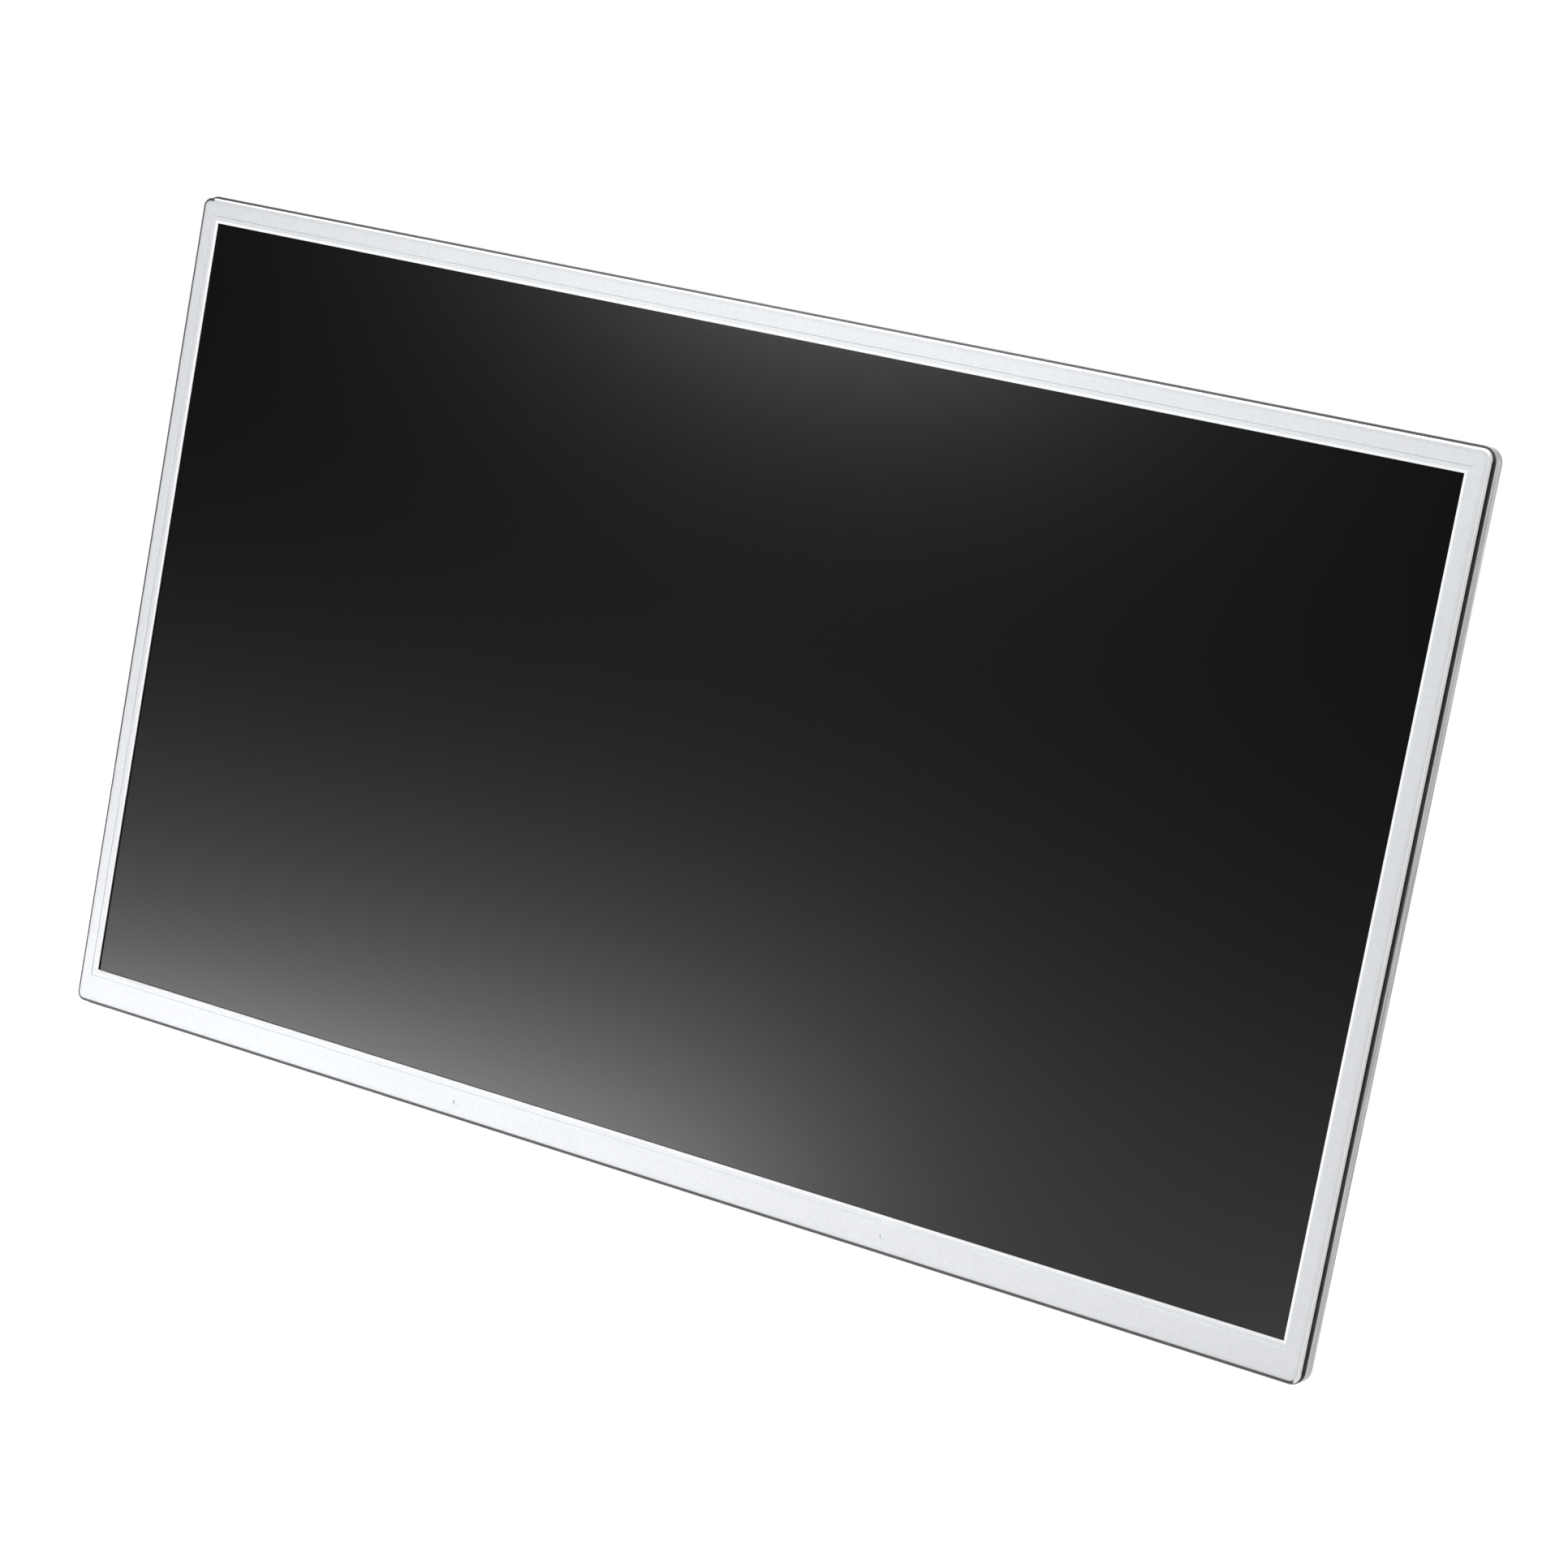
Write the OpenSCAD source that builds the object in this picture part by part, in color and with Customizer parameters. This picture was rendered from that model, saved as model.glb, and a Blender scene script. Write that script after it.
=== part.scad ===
// LCD panel: a bare 21.5-inch display module with an edge-lit backlight.
// X runs across the picture, Z up it, and the screen faces -Y.
// The origin is the centre of the four rear fixing points, on the plane of their raised pads.
// Depths count backwards from the bezel's front face.

/* [Picture] */
// Width of the active picture area
active_w = 476.64; // [380:0.01:600]
// Height of the active picture area
active_h = 268.11; // [230:0.01:340]
// Bezel opening beyond the active area, on every side
view_margin = 1.6; // [0.8:0.1:2]

/* [Bezel] */
// Bezel width at the left and right of the opening
bezel_side = 7.45; // [7.1:0.01:14]
// Bezel width above the opening
bezel_top = 8.3; // [7.8:0.1:14]
// Bezel width below the opening
bezel_bottom = 12.6; // [12.2:0.1:20]
// Sheet thickness
bezel_t = 0.5; // [0.3:0.05:0.7]
// Depth of the folded side wall
bezel_wall = 1.7; // [1.3:0.1:2.4]
// Outer radius of the fold
bezel_fold_r = 0.8; // [0.75:0.05:1.2]
// Radius of the outline's corners
bezel_corner_r = 3.2; // [2:0.1:6]
// Width of the coined bevel at the opening
lip_w = 0.9; // [0.6:0.1:1.6]
// Drop of the coined bevel
lip_drop = 0.25; // [0.1:0.05:0.3]
// Width of the lowered band round the opening, with the bevel
crease_w = 2.3; // [1.8:0.1:2.6]
// Drop of the lowered band
crease_drop = 0.15; // [0.05:0.05:0.2]

/* [Bezel dimples] */
// Length of each oblong dimple
dimple_l = 3.7; // [2:0.1:6]
// Width of each oblong dimple
dimple_w = 1.8; // [1:0.1:3]
// How far each dimple is pressed in
dimple_drop = 0.25; // [0.1:0.05:0.35]
// Height of the dimples above the bezel's lower edge
dimple_up = 5.6; // [4.5:0.1:7]
// Place of the left dimple
dimple_left_x = -76.2; // [-150:0.1:-10]
// Place of the right dimple
dimple_right_x = 96.6; // [10:0.1:150]

/* [Display cell] */
// Thickness of each glass
glass_t = 0.5; // [0.3:0.05:0.7]
// Thickness of each polariser
polarizer_t = 0.2; // [0.1:0.05:0.3]
// Glass beyond the active area, at the sides and the top
glass_margin = 3.4; // [2.6:0.1:3.8]
// Colour filter glass beyond the active area, at the bottom
seal_margin = 3.2; // [2.6:0.1:3.6]
// Ledge of the lower glass that carries the driver films
bond_ledge = 4; // [3:0.1:4.4]
// Foam between the bezel and the screen
gasket_t = 0.35; // [0.2:0.05:0.8]
// Gap between the glass and the guide panel
cell_gap = 0.4; // [0.2:0.05:0.6]
// Tape between the glass and the guide panel's ledge
cell_tape_t = 0.4; // [0.3:0.05:0.6]

/* [Backlight] */
// Thickness of each optical film
film_t = 0.25; // [0.15:0.05:0.4]
// Light guide thickness
light_guide_t = 4; // [3.6:0.1:5]
// Light guide beyond the active area, at the sides and the top
light_margin = 3.6; // [3:0.1:3.8]
// Reflector sheet thickness
reflector_t = 0.2; // [0.1:0.05:0.4]
// Width of the films' locating tabs
tab_w = 12; // [6:1:20]
// Distance between the films' locating tabs
tab_pitch = 150; // [80:5:180]
// Number of lamps
led_count = 46; // [20:1:46]
// Length of a lamp
led_l = 7; // [3:0.1:7.5]
// Height of a lamp from its strip to its face
led_h = 1.1; // [0.6:0.1:1.4]
// Width of a lamp across the light guide's edge
led_w = 3; // [1.4:0.1:3.2]
// Thickness of the lamps' strip
strip_t = 1; // [0.6:0.1:1.2]
// Thickness of the bracket behind the strip
bracket_t = 1.6; // [1:0.1:1.8]

/* [Guide panel] */
// How far the seam lies behind the bezel's side
seam_recess = 0.4; // [0.2:0.05:0.7]
// Thickness of the ledge that carries the glass
ledge_t = 1; // [0.7:0.1:1.5]

/* [Back chassis] */
// Sheet thickness
chassis_t = 0.8; // [0.6:0.1:1]
// How far the chassis stands proud of the bezel all round
rim_proud = 0.8; // [0.5:0.1:1.2]
// Visible width of the seam between the bezel and the chassis
seam_w = 1.3; // [0.8:0.1:3.6]
// Height of the rim's bead
rim_bead = 1.2; // [0.6:0.1:1.6]
// Step behind the rim's bead
rim_step = 0.15; // [0.05:0.05:0.25]
// Outer radius of the rear fold
chassis_fold_r = 1.4; // [1.1:0.1:1.8]
// Radius of the outline's corners
chassis_corner_r = 5; // [4:0.1:8]
// Height of the stiffening beads and screw bosses
boss_h = 0.9; // [0.6:0.1:1.2]
// Width of a stiffening bead at its foot
bead_w = 11; // [8:0.5:14]
// Length of the bead along the top
top_bead_l = 334; // [200:1:360]
// Length of the bead above the boards
low_bead_l = 382; // [240:1:400]

/* [Rear fixing points] */
// Distance between the fixing points across the panel
mount_dx = 340; // [310:5:380]
// Distance between the fixing points up the panel
mount_dz = 170; // [160:5:180]
// Height of the raised pads
pad_h = 1.6; // [1.4:0.1:2.2]
// Radius of the raised pads at their foot
pad_r = 8; // [7:0.5:10]
// Radius of the M3 thread's core
nut_core_r = 1.25; // [1:0.05:1.7]

/* [Driver films] */
// Number of driver films
driver_count = 6; // [4:1:7]
// Width of a driver film
driver_w = 40; // [24:1:44]
// Thickness of a driver film
driver_t = 0.15; // [0.1:0.05:0.2]
// Outer radius of a driver film's bends
driver_bend_r = 1; // [0.8:0.1:1.2]

/* [Boards] */
// Thickness of each board
board_t = 1; // [0.8:0.1:1.2]
// Height of the source board
source_h = 14; // [12:0.5:16]
// Distance from the chassis's lower edge to the source board
source_up = 10.8; // [9:0.1:12]
// Width of the control board
control_w = 130; // [104:1:150]
// Height of the control board
control_h = 50; // [44:1:52]
// Gap between the two boards
board_gap = 6; // [5:0.5:8]
// Height of the sockets on the boards
socket_h = 1.2; // [1:0.1:1.5]
// Height of the cable connectors on the control board
connector_h = 1.9; // [1.8:0.1:2.4]
// Sheet thickness of the control board's shield
shield_t = 0.4; // [0.3:0.05:0.6]
// Clear height under the shield, above the board
shield_room = 1.55; // [1.4:0.05:2.4]

/* [Hidden] */
$fn = 64;

// Clearances, and the overrun of a cut
skin = 0.1;
wall_gap = 0.15;
thread_gap = 0.02;
screw_gap = 0.25;
plug_gap = 0.5;
over = 1;

// Outlines on the front view
bezel_w = active_w + 2 * (view_margin + bezel_side);
bezel_h = active_h + 2 * view_margin + bezel_top + bezel_bottom;
view_z = (bezel_bottom - bezel_top) / 2;
chassis_w = bezel_w + 2 * rim_proud;
chassis_h = bezel_h + 2 * rim_proud;
front_inset = bezel_t + skin;
rear_inset = chassis_t + rim_step + wall_gap;
fold_inner_r = chassis_fold_r - chassis_t;
tape_t = 0.2;
tape_inset = 1.8;
tape_edge = 1;
tape_low_edge = 0.3;
gasket_inside = 0.5;
gasket_outside = 0.3;
cell_tape_inside = 0.2;
dimple_wall = 0.15;
dimple_gap = 0.35;

// Depths, from the bezel's front face
lip_back = bezel_t + crease_drop;
screen_depth = lip_back + gasket_t;
filter_depth = screen_depth + polarizer_t;
tft_depth = filter_depth + glass_t;
rear_pol_depth = tft_depth + glass_t;
ledge_depth = rear_pol_depth + cell_tape_t;
film_depth = ledge_depth + ledge_t + skin;
light_depth = film_depth + 3 * film_t;
reflector_depth = light_depth + light_guide_t;
pan_depth = reflector_depth + reflector_t;
body_depth = pan_depth + chassis_t;
guide_depth = bezel_t + tape_t;
seam_depth = bezel_wall + skin;
rim_depth = bezel_wall + seam_w;
boss_depth = body_depth + boss_h;
board_face = boss_depth + board_t;
mount_depth = body_depth + pad_h;

// Heights of the backlight's lower edge, from the light guide down to the guide panel's wall
light_drop = 0.8;
light_low = view_z - active_h / 2 - light_margin - light_drop;
led_gap = 0.3;
led_end = 6;
led_rim = 0.4;
led_recess = 0.25;
strip_top = light_low - led_gap - led_h;
strip_low = strip_top - strip_t;
bracket_top = strip_low - tape_t;
bracket_low = bracket_top - bracket_t;
bracket_over = 0.6;
bracket_foot = 3.6;
bracket_gap = 0.2;
foot_t = 0.8;
pocket_low = bracket_low - bracket_gap;
pocket_gap = 1.1;
bumper_l = 20;
bumper_x = 120;
light_top = view_z + active_h / 2 + light_margin;
light_side = active_w / 2 + light_margin;
strip_over = 0.3;
strip_side = light_side + strip_over;
strip_lap = 0.15;
led_pitch = (active_w - 2 * led_end) / led_count;
film_inset = 0.4;
tab_h = 2.2;
tab_gap = 0.3;
notch_w = 6;
notch_d = 2.5;
peg_side_gap = 0.3;
peg_end_gap = 0.4;

// Driver films
driver_pitch = active_w / driver_count;
driver_side = 1;
tft_low = view_z - active_h / 2 - seal_margin - bond_ledge;
driver_wall_gap = 0.2;
driver_face = bezel_h / 2 - bezel_t - driver_wall_gap;
driver_slot_out = 0.3;
driver_slot_in = 1;
driver_lap = 2;
chip_l = 18;
chip_w = 1.4;
chip_t = 0.5;

// Boards on the back
board_corner_r = 1;
source_over = 4;
source_w = driver_pitch * (driver_count - 1) + driver_w + 2 * source_over;
source_low = source_up - chassis_h / 2;
source_top = source_low + source_h;
control_low = source_top + board_gap;
control_mid = control_low + control_h / 2;
control_top = control_low + control_h;
insulator_t = 0.2;
insulator_edge = 1.5;
insulator_gap = 0.3;
boss_r = 4;
boss_top_r = 3.2;
source_screw_up = 9;
source_screw_z = source_low + source_screw_up;
control_screw_in = 5;
control_screw_up = 19;
flex_w = 7;
flex_t = 0.15;
flex_end = 4.7;
flex_x = strip_side - flex_end;
side_socket_up = 9;
flex_z = control_low + side_socket_up;
flex_bend_r = 0.65;
flex_turn_out = 25;
flex_turn_x = control_w / 2 + flex_turn_out;
flex_slot_side = 0.6;
flex_slot_h = 1.6;
link_x = 30;
link_w = 20;
link_t = 0.2;
link_lift = 0.35;
socket_end = 2;
socket_d = 4;
socket_in = 2.5;
socket_edge = 1;
socket_slot_h = 0.3;
link_socket_w = link_w + 2 * socket_end;
// Chips and coils of the control board, from its middle: x, z, then width, height and thickness
chips = [
    [-4, 0, 16, 16, 1], [20, 4, 6, 5, 0.9], [20, -6, 6, 5, 0.9], [-26, 6, 8, 8, 0.9], [36, -1, 7, 7, 0.9]
];
coils = [[-38, 8], [-26, -6], [48, 3]];
coil_r = 3;
coil_h = 1.3;

// Cover over the control board
shield_gap = 3;
shield_w = control_w + 2 * shield_gap;
shield_h = control_h + 2 * shield_gap;
flex_clear = 2;
flex_rise_x = shield_w / 2 + flex_clear;
flex_plug_x = control_w / 2 + socket_edge - socket_in + plug_gap;
shield_depth = board_face + shield_room;
shield_back = shield_depth + shield_t;
shield_lift = 0.25;
shield_r = 2;
shield_bend = 0.8;
ear_r = 4;
ear_gap = 0.6;
ear_out = boss_r + ear_gap;
ear_top_in = 7;
ear_z = [control_mid, control_top - ear_top_in];
signal_w = 36;
side_socket_w = 10;
connector_d = 5;
connector_out = 0.5;
connector_wall = 1.5;
connector_floor = 0.4;
connector_back = 1.2;
key_in = 2.5;
key_d = 1.4;
plug_side_gap = 1;
side_socket_gap = 1.5;
link_gap = 0.3;
vent_l = 9;
vent_w = 1.6;
vent_cols = 7;
vent_rows = 4;
vent_dx = 14;
vent_dz = 6.5;
vent_drop = 2;
vent_z = control_mid - vent_drop;

// Screws
self_tap_r = 0.85;
self_tap_depth = 4;
small_head_r = 1.7;
small_head_h = 0.7;
board_tap_r = 1.05;
board_hole_r = 1.5;
board_head_r = 2.2;
board_head_h = 0.9;
head_round = 0.35;
tap_depth = 1.5;
ear_hole_r = 1.4;

// Fixing points
nut_r = 2.1;
nut_head_r = 3;
nut_head_h = 1.3;
pad_top_r = pad_r - pad_h;

// Places that repeat
driver_xs = [for (i = [0 : driver_count - 1]) (i - (driver_count - 1) / 2) * driver_pitch];
led_xs = [for (i = [0 : led_count - 1]) (i - (led_count - 1) / 2) * led_pitch];
tab_xs = [-tab_pitch, 0, tab_pitch];
top_screw_x = 190;
side_screw_z = 70;
low_screw_drop = 2.2;
side_screw_x = (light_side + pocket_gap + chassis_w / 2 - rear_inset) / 2;
top_screw_z = (light_top + pocket_gap + chassis_h / 2 - rear_inset) / 2;
low_screw_z = pocket_low - low_screw_drop;
chassis_screw_points = concat(
    [for (s = [-1, 0, 1]) [s * top_screw_x, top_screw_z]],
    [for (s = [-1, 1], z = [-side_screw_z, side_screw_z]) [s * side_screw_x, z]],
    [for (x = [-driver_pitch * 2, 0, driver_pitch * 2]) [x, low_screw_z]]
);
source_screw_points = [for (x = [-driver_pitch * 2, 0, driver_pitch * 2]) [x, source_screw_z]];
control_screw_points = [
    for (s = [-1, 1], z = [control_low + control_screw_up, control_top - control_screw_in])
        [s * (control_w / 2 - control_screw_in), z]
];
board_screw_points = concat(source_screw_points, control_screw_points);
shield_screw_points = [for (s = [-1, 1], z = ear_z) [s * (shield_w / 2 + ear_out), z]];
mount_points = [for (sx = [-1, 1], sz = [-1, 1]) [sx * mount_dx / 2, sz * mount_dz / 2]];
// Stiffening beads of the chassis: x, z, length, angle
bead_top_down = 29;
bead_low_up = 28;
bead_gap = 7;
bead_pitch = 69;
bead_top_z = chassis_h / 2 - bead_top_down;
bead_low_z = control_top + bead_low_up;
bead_mid_z = (bead_top_z + bead_low_z) / 2;
bead_rise = bead_top_z - bead_low_z - bead_w - 2 * bead_gap;
beads = concat(
    [[0, bead_top_z, top_bead_l, 0], [0, bead_low_z, low_bead_l, 0]],
    [for (i = [-2 : 2]) [i * bead_pitch, bead_mid_z, bead_rise, 90]]
);
tool_hole_r = 2.5;
tool_hole_in = 22;
tool_hole_down = 24;
tool_hole_x = chassis_w / 2 - tool_hole_in;
tool_hole_z = chassis_h / 2 - tool_hole_down;

// A flat shape from the front view, given a thickness behind a depth
module plate(depth, thick)
    translate([0, depth + thick - mount_depth, 0])
        rotate([90, 0, 0])
            linear_extrude(height = thick)
                children();

// A section drawn as depth and height, run along X
module along_x(length)
    translate([0, -mount_depth, 0])
        rotate([90, 0, 90])
            linear_extrude(height = length, center = true)
                children();

// A round or tapering post whose axis runs backwards from a depth
module post(point, depth, length, r, r_back = undef)
    translate([point[0], depth - mount_depth, point[1]])
        rotate([-90, 0, 0])
            cylinder(h = length, r1 = r, r2 = is_undef(r_back) ? r : r_back);

// A section swept round a rounded rectangle: x points outward from it, y is the depth
module sweep_outline(w, h, r) {
    for (k = [0 : 3]) {
        out = k % 2 == 0 ? w : h;
        along = k % 2 == 0 ? h : w;
        rotate([0, -90 * k, 0]) {
            translate([out / 2, -mount_depth, 0])
                linear_extrude(height = along - 2 * r, center = true)
                    children();
            translate([out / 2 - r, -mount_depth, r - along / 2])
                rotate([-90, 0, 0])
                    rotate_extrude(angle = 90)
                        translate([r, 0])
                            children();
        }
    }
}

module rounded_rect(w, h, r) {
    square([w - 2 * r, h], center = true);
    square([w, h - 2 * r], center = true);
    for (sx = [-1, 1], sy = [-1, 1])
        translate([sx * (w / 2 - r), sy * (h / 2 - r)])
            circle(r);
}

module oblong(length, width) {
    square([length - width, width], center = true);
    for (s = [-1, 1])
        translate([s * (length - width) / 2, 0])
            circle(width / 2);
}

// The active area grown by a margin at the sides, the top and the bottom
module grown_view(side, top, bottom)
    translate([-active_w / 2 - side, view_z - active_h / 2 - bottom])
        square([active_w + 2 * side, active_h + top + bottom]);

module view_ring(outer, inner, outer_bottom = undef)
    difference() {
        grown_view(outer, outer, is_undef(outer_bottom) ? outer : outer_bottom);
        grown_view(inner, inner, inner);
    }

// A quarter ring of sheet, its centre at the origin, in the quadrant of the two signs
module fold(r, t, sx, sy)
    intersection() {
        difference() {
            circle(r);
            circle(r - t);
        }
        translate([sx * r / 2, sy * r / 2])
            square(r, center = true);
    }

// The four corners of the active area grown by a margin, at a depth
function view_corners(margin, depth) = [
    for (s = [[-1, -1], [1, -1], [1, 1], [-1, 1]])
        [s[0] * (active_w / 2 + margin), depth - mount_depth, view_z + s[1] * (active_h / 2 + margin)]
];

// A straight-sided funnel between two sizes of the view opening
module view_funnel(front_margin, back_margin, depth, thick)
    polyhedron(
        points = concat(view_corners(front_margin, depth), view_corners(back_margin, depth + thick)),
        faces = [[3, 2, 1, 0], [4, 5, 6, 7], [0, 1, 5, 4], [1, 2, 6, 5], [2, 3, 7, 6], [3, 0, 4, 7]]
    );

module dimples(grow, depth, thick)
    plate(depth, thick)
        for (x = [dimple_left_x, dimple_right_x])
            translate([x, dimple_up - bezel_h / 2])
                oblong(dimple_l + 2 * grow, dimple_w + 2 * grow);

module front_bezel()
    color("#d6d9dc")
        difference() {
            union() {
                plate(0, bezel_t)
                    rounded_rect(
                        bezel_w - 2 * bezel_fold_r,
                        bezel_h - 2 * bezel_fold_r,
                        bezel_corner_r - bezel_fold_r
                    );
                sweep_outline(bezel_w, bezel_h, bezel_corner_r) {
                    union() {
                        translate([-bezel_fold_r, bezel_fold_r])
                            fold(bezel_fold_r, bezel_t, 1, -1);
                        translate([-bezel_t, bezel_fold_r])
                            square([bezel_t, bezel_wall - bezel_fold_r]);
                    }
                }
                plate(bezel_t, crease_drop)
                    grown_view(
                        view_margin + crease_w, view_margin + crease_w, view_margin + crease_w
                    );
                dimples(0, bezel_t, dimple_drop);
            }
            plate(-over, lip_back + 2 * over)
                grown_view(view_margin, view_margin, view_margin);
            view_funnel(
                view_margin + crease_w + crease_drop, view_margin + crease_w, 0, crease_drop
            );
            view_funnel(view_margin + lip_w, view_margin, crease_drop, lip_drop);
            dimples(-dimple_wall, -over, over + dimple_drop);
        }

module bezel_tape()
    color("#2b2b2b")
        difference() {
            plate(bezel_t, tape_t)
                difference() {
                    rounded_rect(
                        bezel_w - 2 * tape_inset,
                        bezel_h - 2 * tape_inset,
                        bezel_corner_r - tape_inset
                    );
                    grown_view(
                        glass_margin + cell_gap + tape_edge,
                        glass_margin + cell_gap + tape_edge,
                        seal_margin + bond_ledge + cell_gap + tape_low_edge
                    );
                }
            dimples(dimple_gap, bezel_t - over, tape_t + 2 * over);
        }

module bezel_gasket()
    color("#1c1c1e")
        plate(lip_back, gasket_t)
            view_ring(glass_margin - gasket_inside, view_margin + gasket_outside);

module front_polarizer()
    color("#101113")
        plate(screen_depth, polarizer_t)
            grown_view(glass_margin - film_inset, glass_margin - film_inset, seal_margin - film_inset);

module color_filter_glass()
    color("#2a2f33")
        plate(filter_depth, glass_t)
            grown_view(glass_margin, glass_margin, seal_margin);

module tft_glass()
    color("#39444a")
        plate(tft_depth, glass_t)
            grown_view(glass_margin, glass_margin, seal_margin + bond_ledge);

module rear_polarizer()
    color("#303236")
        plate(rear_pol_depth, polarizer_t)
            grown_view(view_margin - film_inset, view_margin - film_inset, view_margin - film_inset);

module cell_tape()
    color("#1a1a1a")
        plate(rear_pol_depth, cell_tape_t)
            view_ring(
                glass_margin - cell_tape_inside,
                view_margin + cell_tape_inside,
                seal_margin + bond_ledge - cell_tape_inside
            );

// Passages in the guide panel's lower rail for the driver films
module driver_channels()
    for (x = driver_xs)
        translate([x, 0, 0])
            along_x(driver_w + 2 * driver_side) {
                translate([0, -bezel_h / 2])
                    square([tft_depth + 2 * skin, bezel_h / 2 + tft_low + skin]);
                translate([0, -bezel_h / 2])
                    square([tft_depth + driver_bend_r, bezel_h / 2 - driver_face + driver_bend_r + skin]);
                translate([0, -chassis_h / 2])
                    square([pan_depth + over, chassis_h / 2 - driver_face + driver_t + wall_gap]);
            }

// The guide panel's outside: within the bezel, bare at the seam, then within the chassis
module guide_body() {
    plate(guide_depth, seam_depth - guide_depth)
        rounded_rect(
            bezel_w - 2 * front_inset,
            bezel_h - 2 * front_inset,
            bezel_corner_r - front_inset
        );
    plate(seam_depth, rim_depth - skin - seam_depth)
        rounded_rect(
            bezel_w - 2 * seam_recess,
            bezel_h - 2 * seam_recess,
            bezel_corner_r - seam_recess
        );
    plate(rim_depth - skin, pan_depth - fold_inner_r - rim_depth + skin)
        chassis_inside(0);
    plate(pan_depth - fold_inner_r, fold_inner_r)
        chassis_inside(fold_inner_r);
}

// The room for the display cell, the view through the ledge and the room for the backlight
module guide_hollow() {
    plate(guide_depth - over, ledge_depth - guide_depth + over)
        cell_pocket();
    plate(ledge_depth - over, ledge_t + 2 * over)
        grown_view(view_margin, view_margin, view_margin);
    plate(ledge_depth + ledge_t, pan_depth - ledge_depth - ledge_t + over)
        light_pocket();
}

module guide_panel()
    color("#17181a")
        difference() {
            union() {
                difference() {
                    guide_body();
                    guide_hollow();
                }
                light_pegs();
            }
            // Pockets for the films' tabs
            plate(ledge_depth + ledge_t, skin + 3 * film_t + skin)
                for (x = tab_xs)
                    translate([x, light_top])
                        square([tab_w + 2 * tab_gap, 2 * tab_h], center = true);
            // Seat for the lamp bracket's foot
            plate(pan_depth - foot_t - skin, foot_t + skin + over)
                translate([-strip_side - bracket_gap, bracket_low - bracket_foot - bracket_gap])
                    square([2 * (strip_side + bracket_gap), bracket_foot + over]);
            dimples(dimple_gap, guide_depth - over, over + dimple_drop + skin);
            driver_channels();
            for (p = chassis_screw_points)
                post(p, pan_depth - self_tap_depth, self_tap_depth + over, self_tap_r);
        }

// The guide panel's outline inside the chassis
module chassis_inside(inset)
    rounded_rect(
        chassis_w - 2 * (rear_inset + inset),
        chassis_h - 2 * (rear_inset + inset),
        chassis_corner_r - rear_inset - inset
    );

module cell_pocket()
    grown_view(
        glass_margin + cell_gap,
        glass_margin + cell_gap,
        seal_margin + bond_ledge + cell_gap
    );

module light_pocket()
    translate([-light_side - pocket_gap, pocket_low])
        square([2 * (light_side + pocket_gap), light_top + pocket_gap - pocket_low]);

// Pegs at mid-height that locate the light guide
module light_pegs()
    plate(light_depth + skin, light_guide_t - skin)
        for (s = [-1, 1])
            translate([s * (light_side + pocket_gap), view_z])
                square(
                    [2 * (notch_d + pocket_gap - peg_end_gap), notch_w - 2 * peg_side_gap],
                    center = true
                );

module optical_film(index)
    plate(film_depth + index * film_t, film_t) {
        translate([film_inset - light_side, light_low + 2 * film_inset])
            square([2 * (light_side - film_inset), light_top - light_low - 3 * film_inset]);
        for (x = tab_xs)
            translate([x - tab_w / 2, light_top - 2 * film_inset])
                square([tab_w, tab_h + film_inset - tab_gap]);
    }

module upper_diffuser()
    color("#f2f3f4")
        optical_film(0);

module prism_sheet()
    color("#dfe4e8")
        optical_film(1);

module lower_diffuser()
    color("#f6f6f2")
        optical_film(2);

module light_guide()
    color("#cfe3ec")
        difference() {
            plate(light_depth, light_guide_t)
                translate([-light_side, light_low])
                    square([2 * light_side, light_top - light_low]);
            plate(light_depth - over, light_guide_t + 2 * over)
                for (s = [-1, 1])
                    translate([s * light_side, view_z])
                        square([2 * notch_d, notch_w], center = true);
        }

module reflector_sheet()
    color("#fafafa")
        plate(reflector_depth, reflector_t)
            translate([-light_side, light_low])
                square([2 * light_side, light_top - light_low]);

module light_guide_bumpers()
    color("#4a4d50")
        plate(light_depth + skin, light_guide_t - 2 * skin)
            for (s = [-1, 1])
                translate([s * bumper_x - bumper_l / 2, light_top])
                    square([bumper_l, pocket_gap]);

module led_packages()
    color("#f4e7a8")
        for (x = led_xs)
            translate([x, light_depth + light_guide_t / 2 - mount_depth, strip_top])
                difference() {
                    translate([-led_l / 2, -led_w / 2, 0])
                        cube([led_l, led_w, led_h]);
                    translate([led_rim - led_l / 2, led_rim - led_w / 2, led_h - led_recess])
                        cube([led_l - 2 * led_rim, led_w - 2 * led_rim, over]);
                }

module strip_layer(top, thick)
    translate([-strip_side, light_depth - strip_lap - mount_depth, top - thick])
        cube([2 * strip_side, light_guide_t + 2 * strip_lap, thick]);

module led_strip()
    color("#e9ecec")
        strip_layer(strip_top, strip_t);

module thermal_tape()
    color("#8d9aa6")
        strip_layer(strip_low, tape_t);

module led_bracket()
    color("#b9bdc1")
        difference() {
            along_x(2 * strip_side) {
                translate([light_depth - bracket_over, bracket_low])
                    square([pan_depth - light_depth + bracket_over, bracket_t]);
                translate([pan_depth - foot_t, bracket_low - bracket_foot])
                    square([foot_t, bracket_foot + bracket_t / 2]);
            }
            for (p = chassis_screw_points)
                post(p, pan_depth - foot_t - over, foot_t + 2 * over, self_tap_r + screw_gap);
        }

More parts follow.
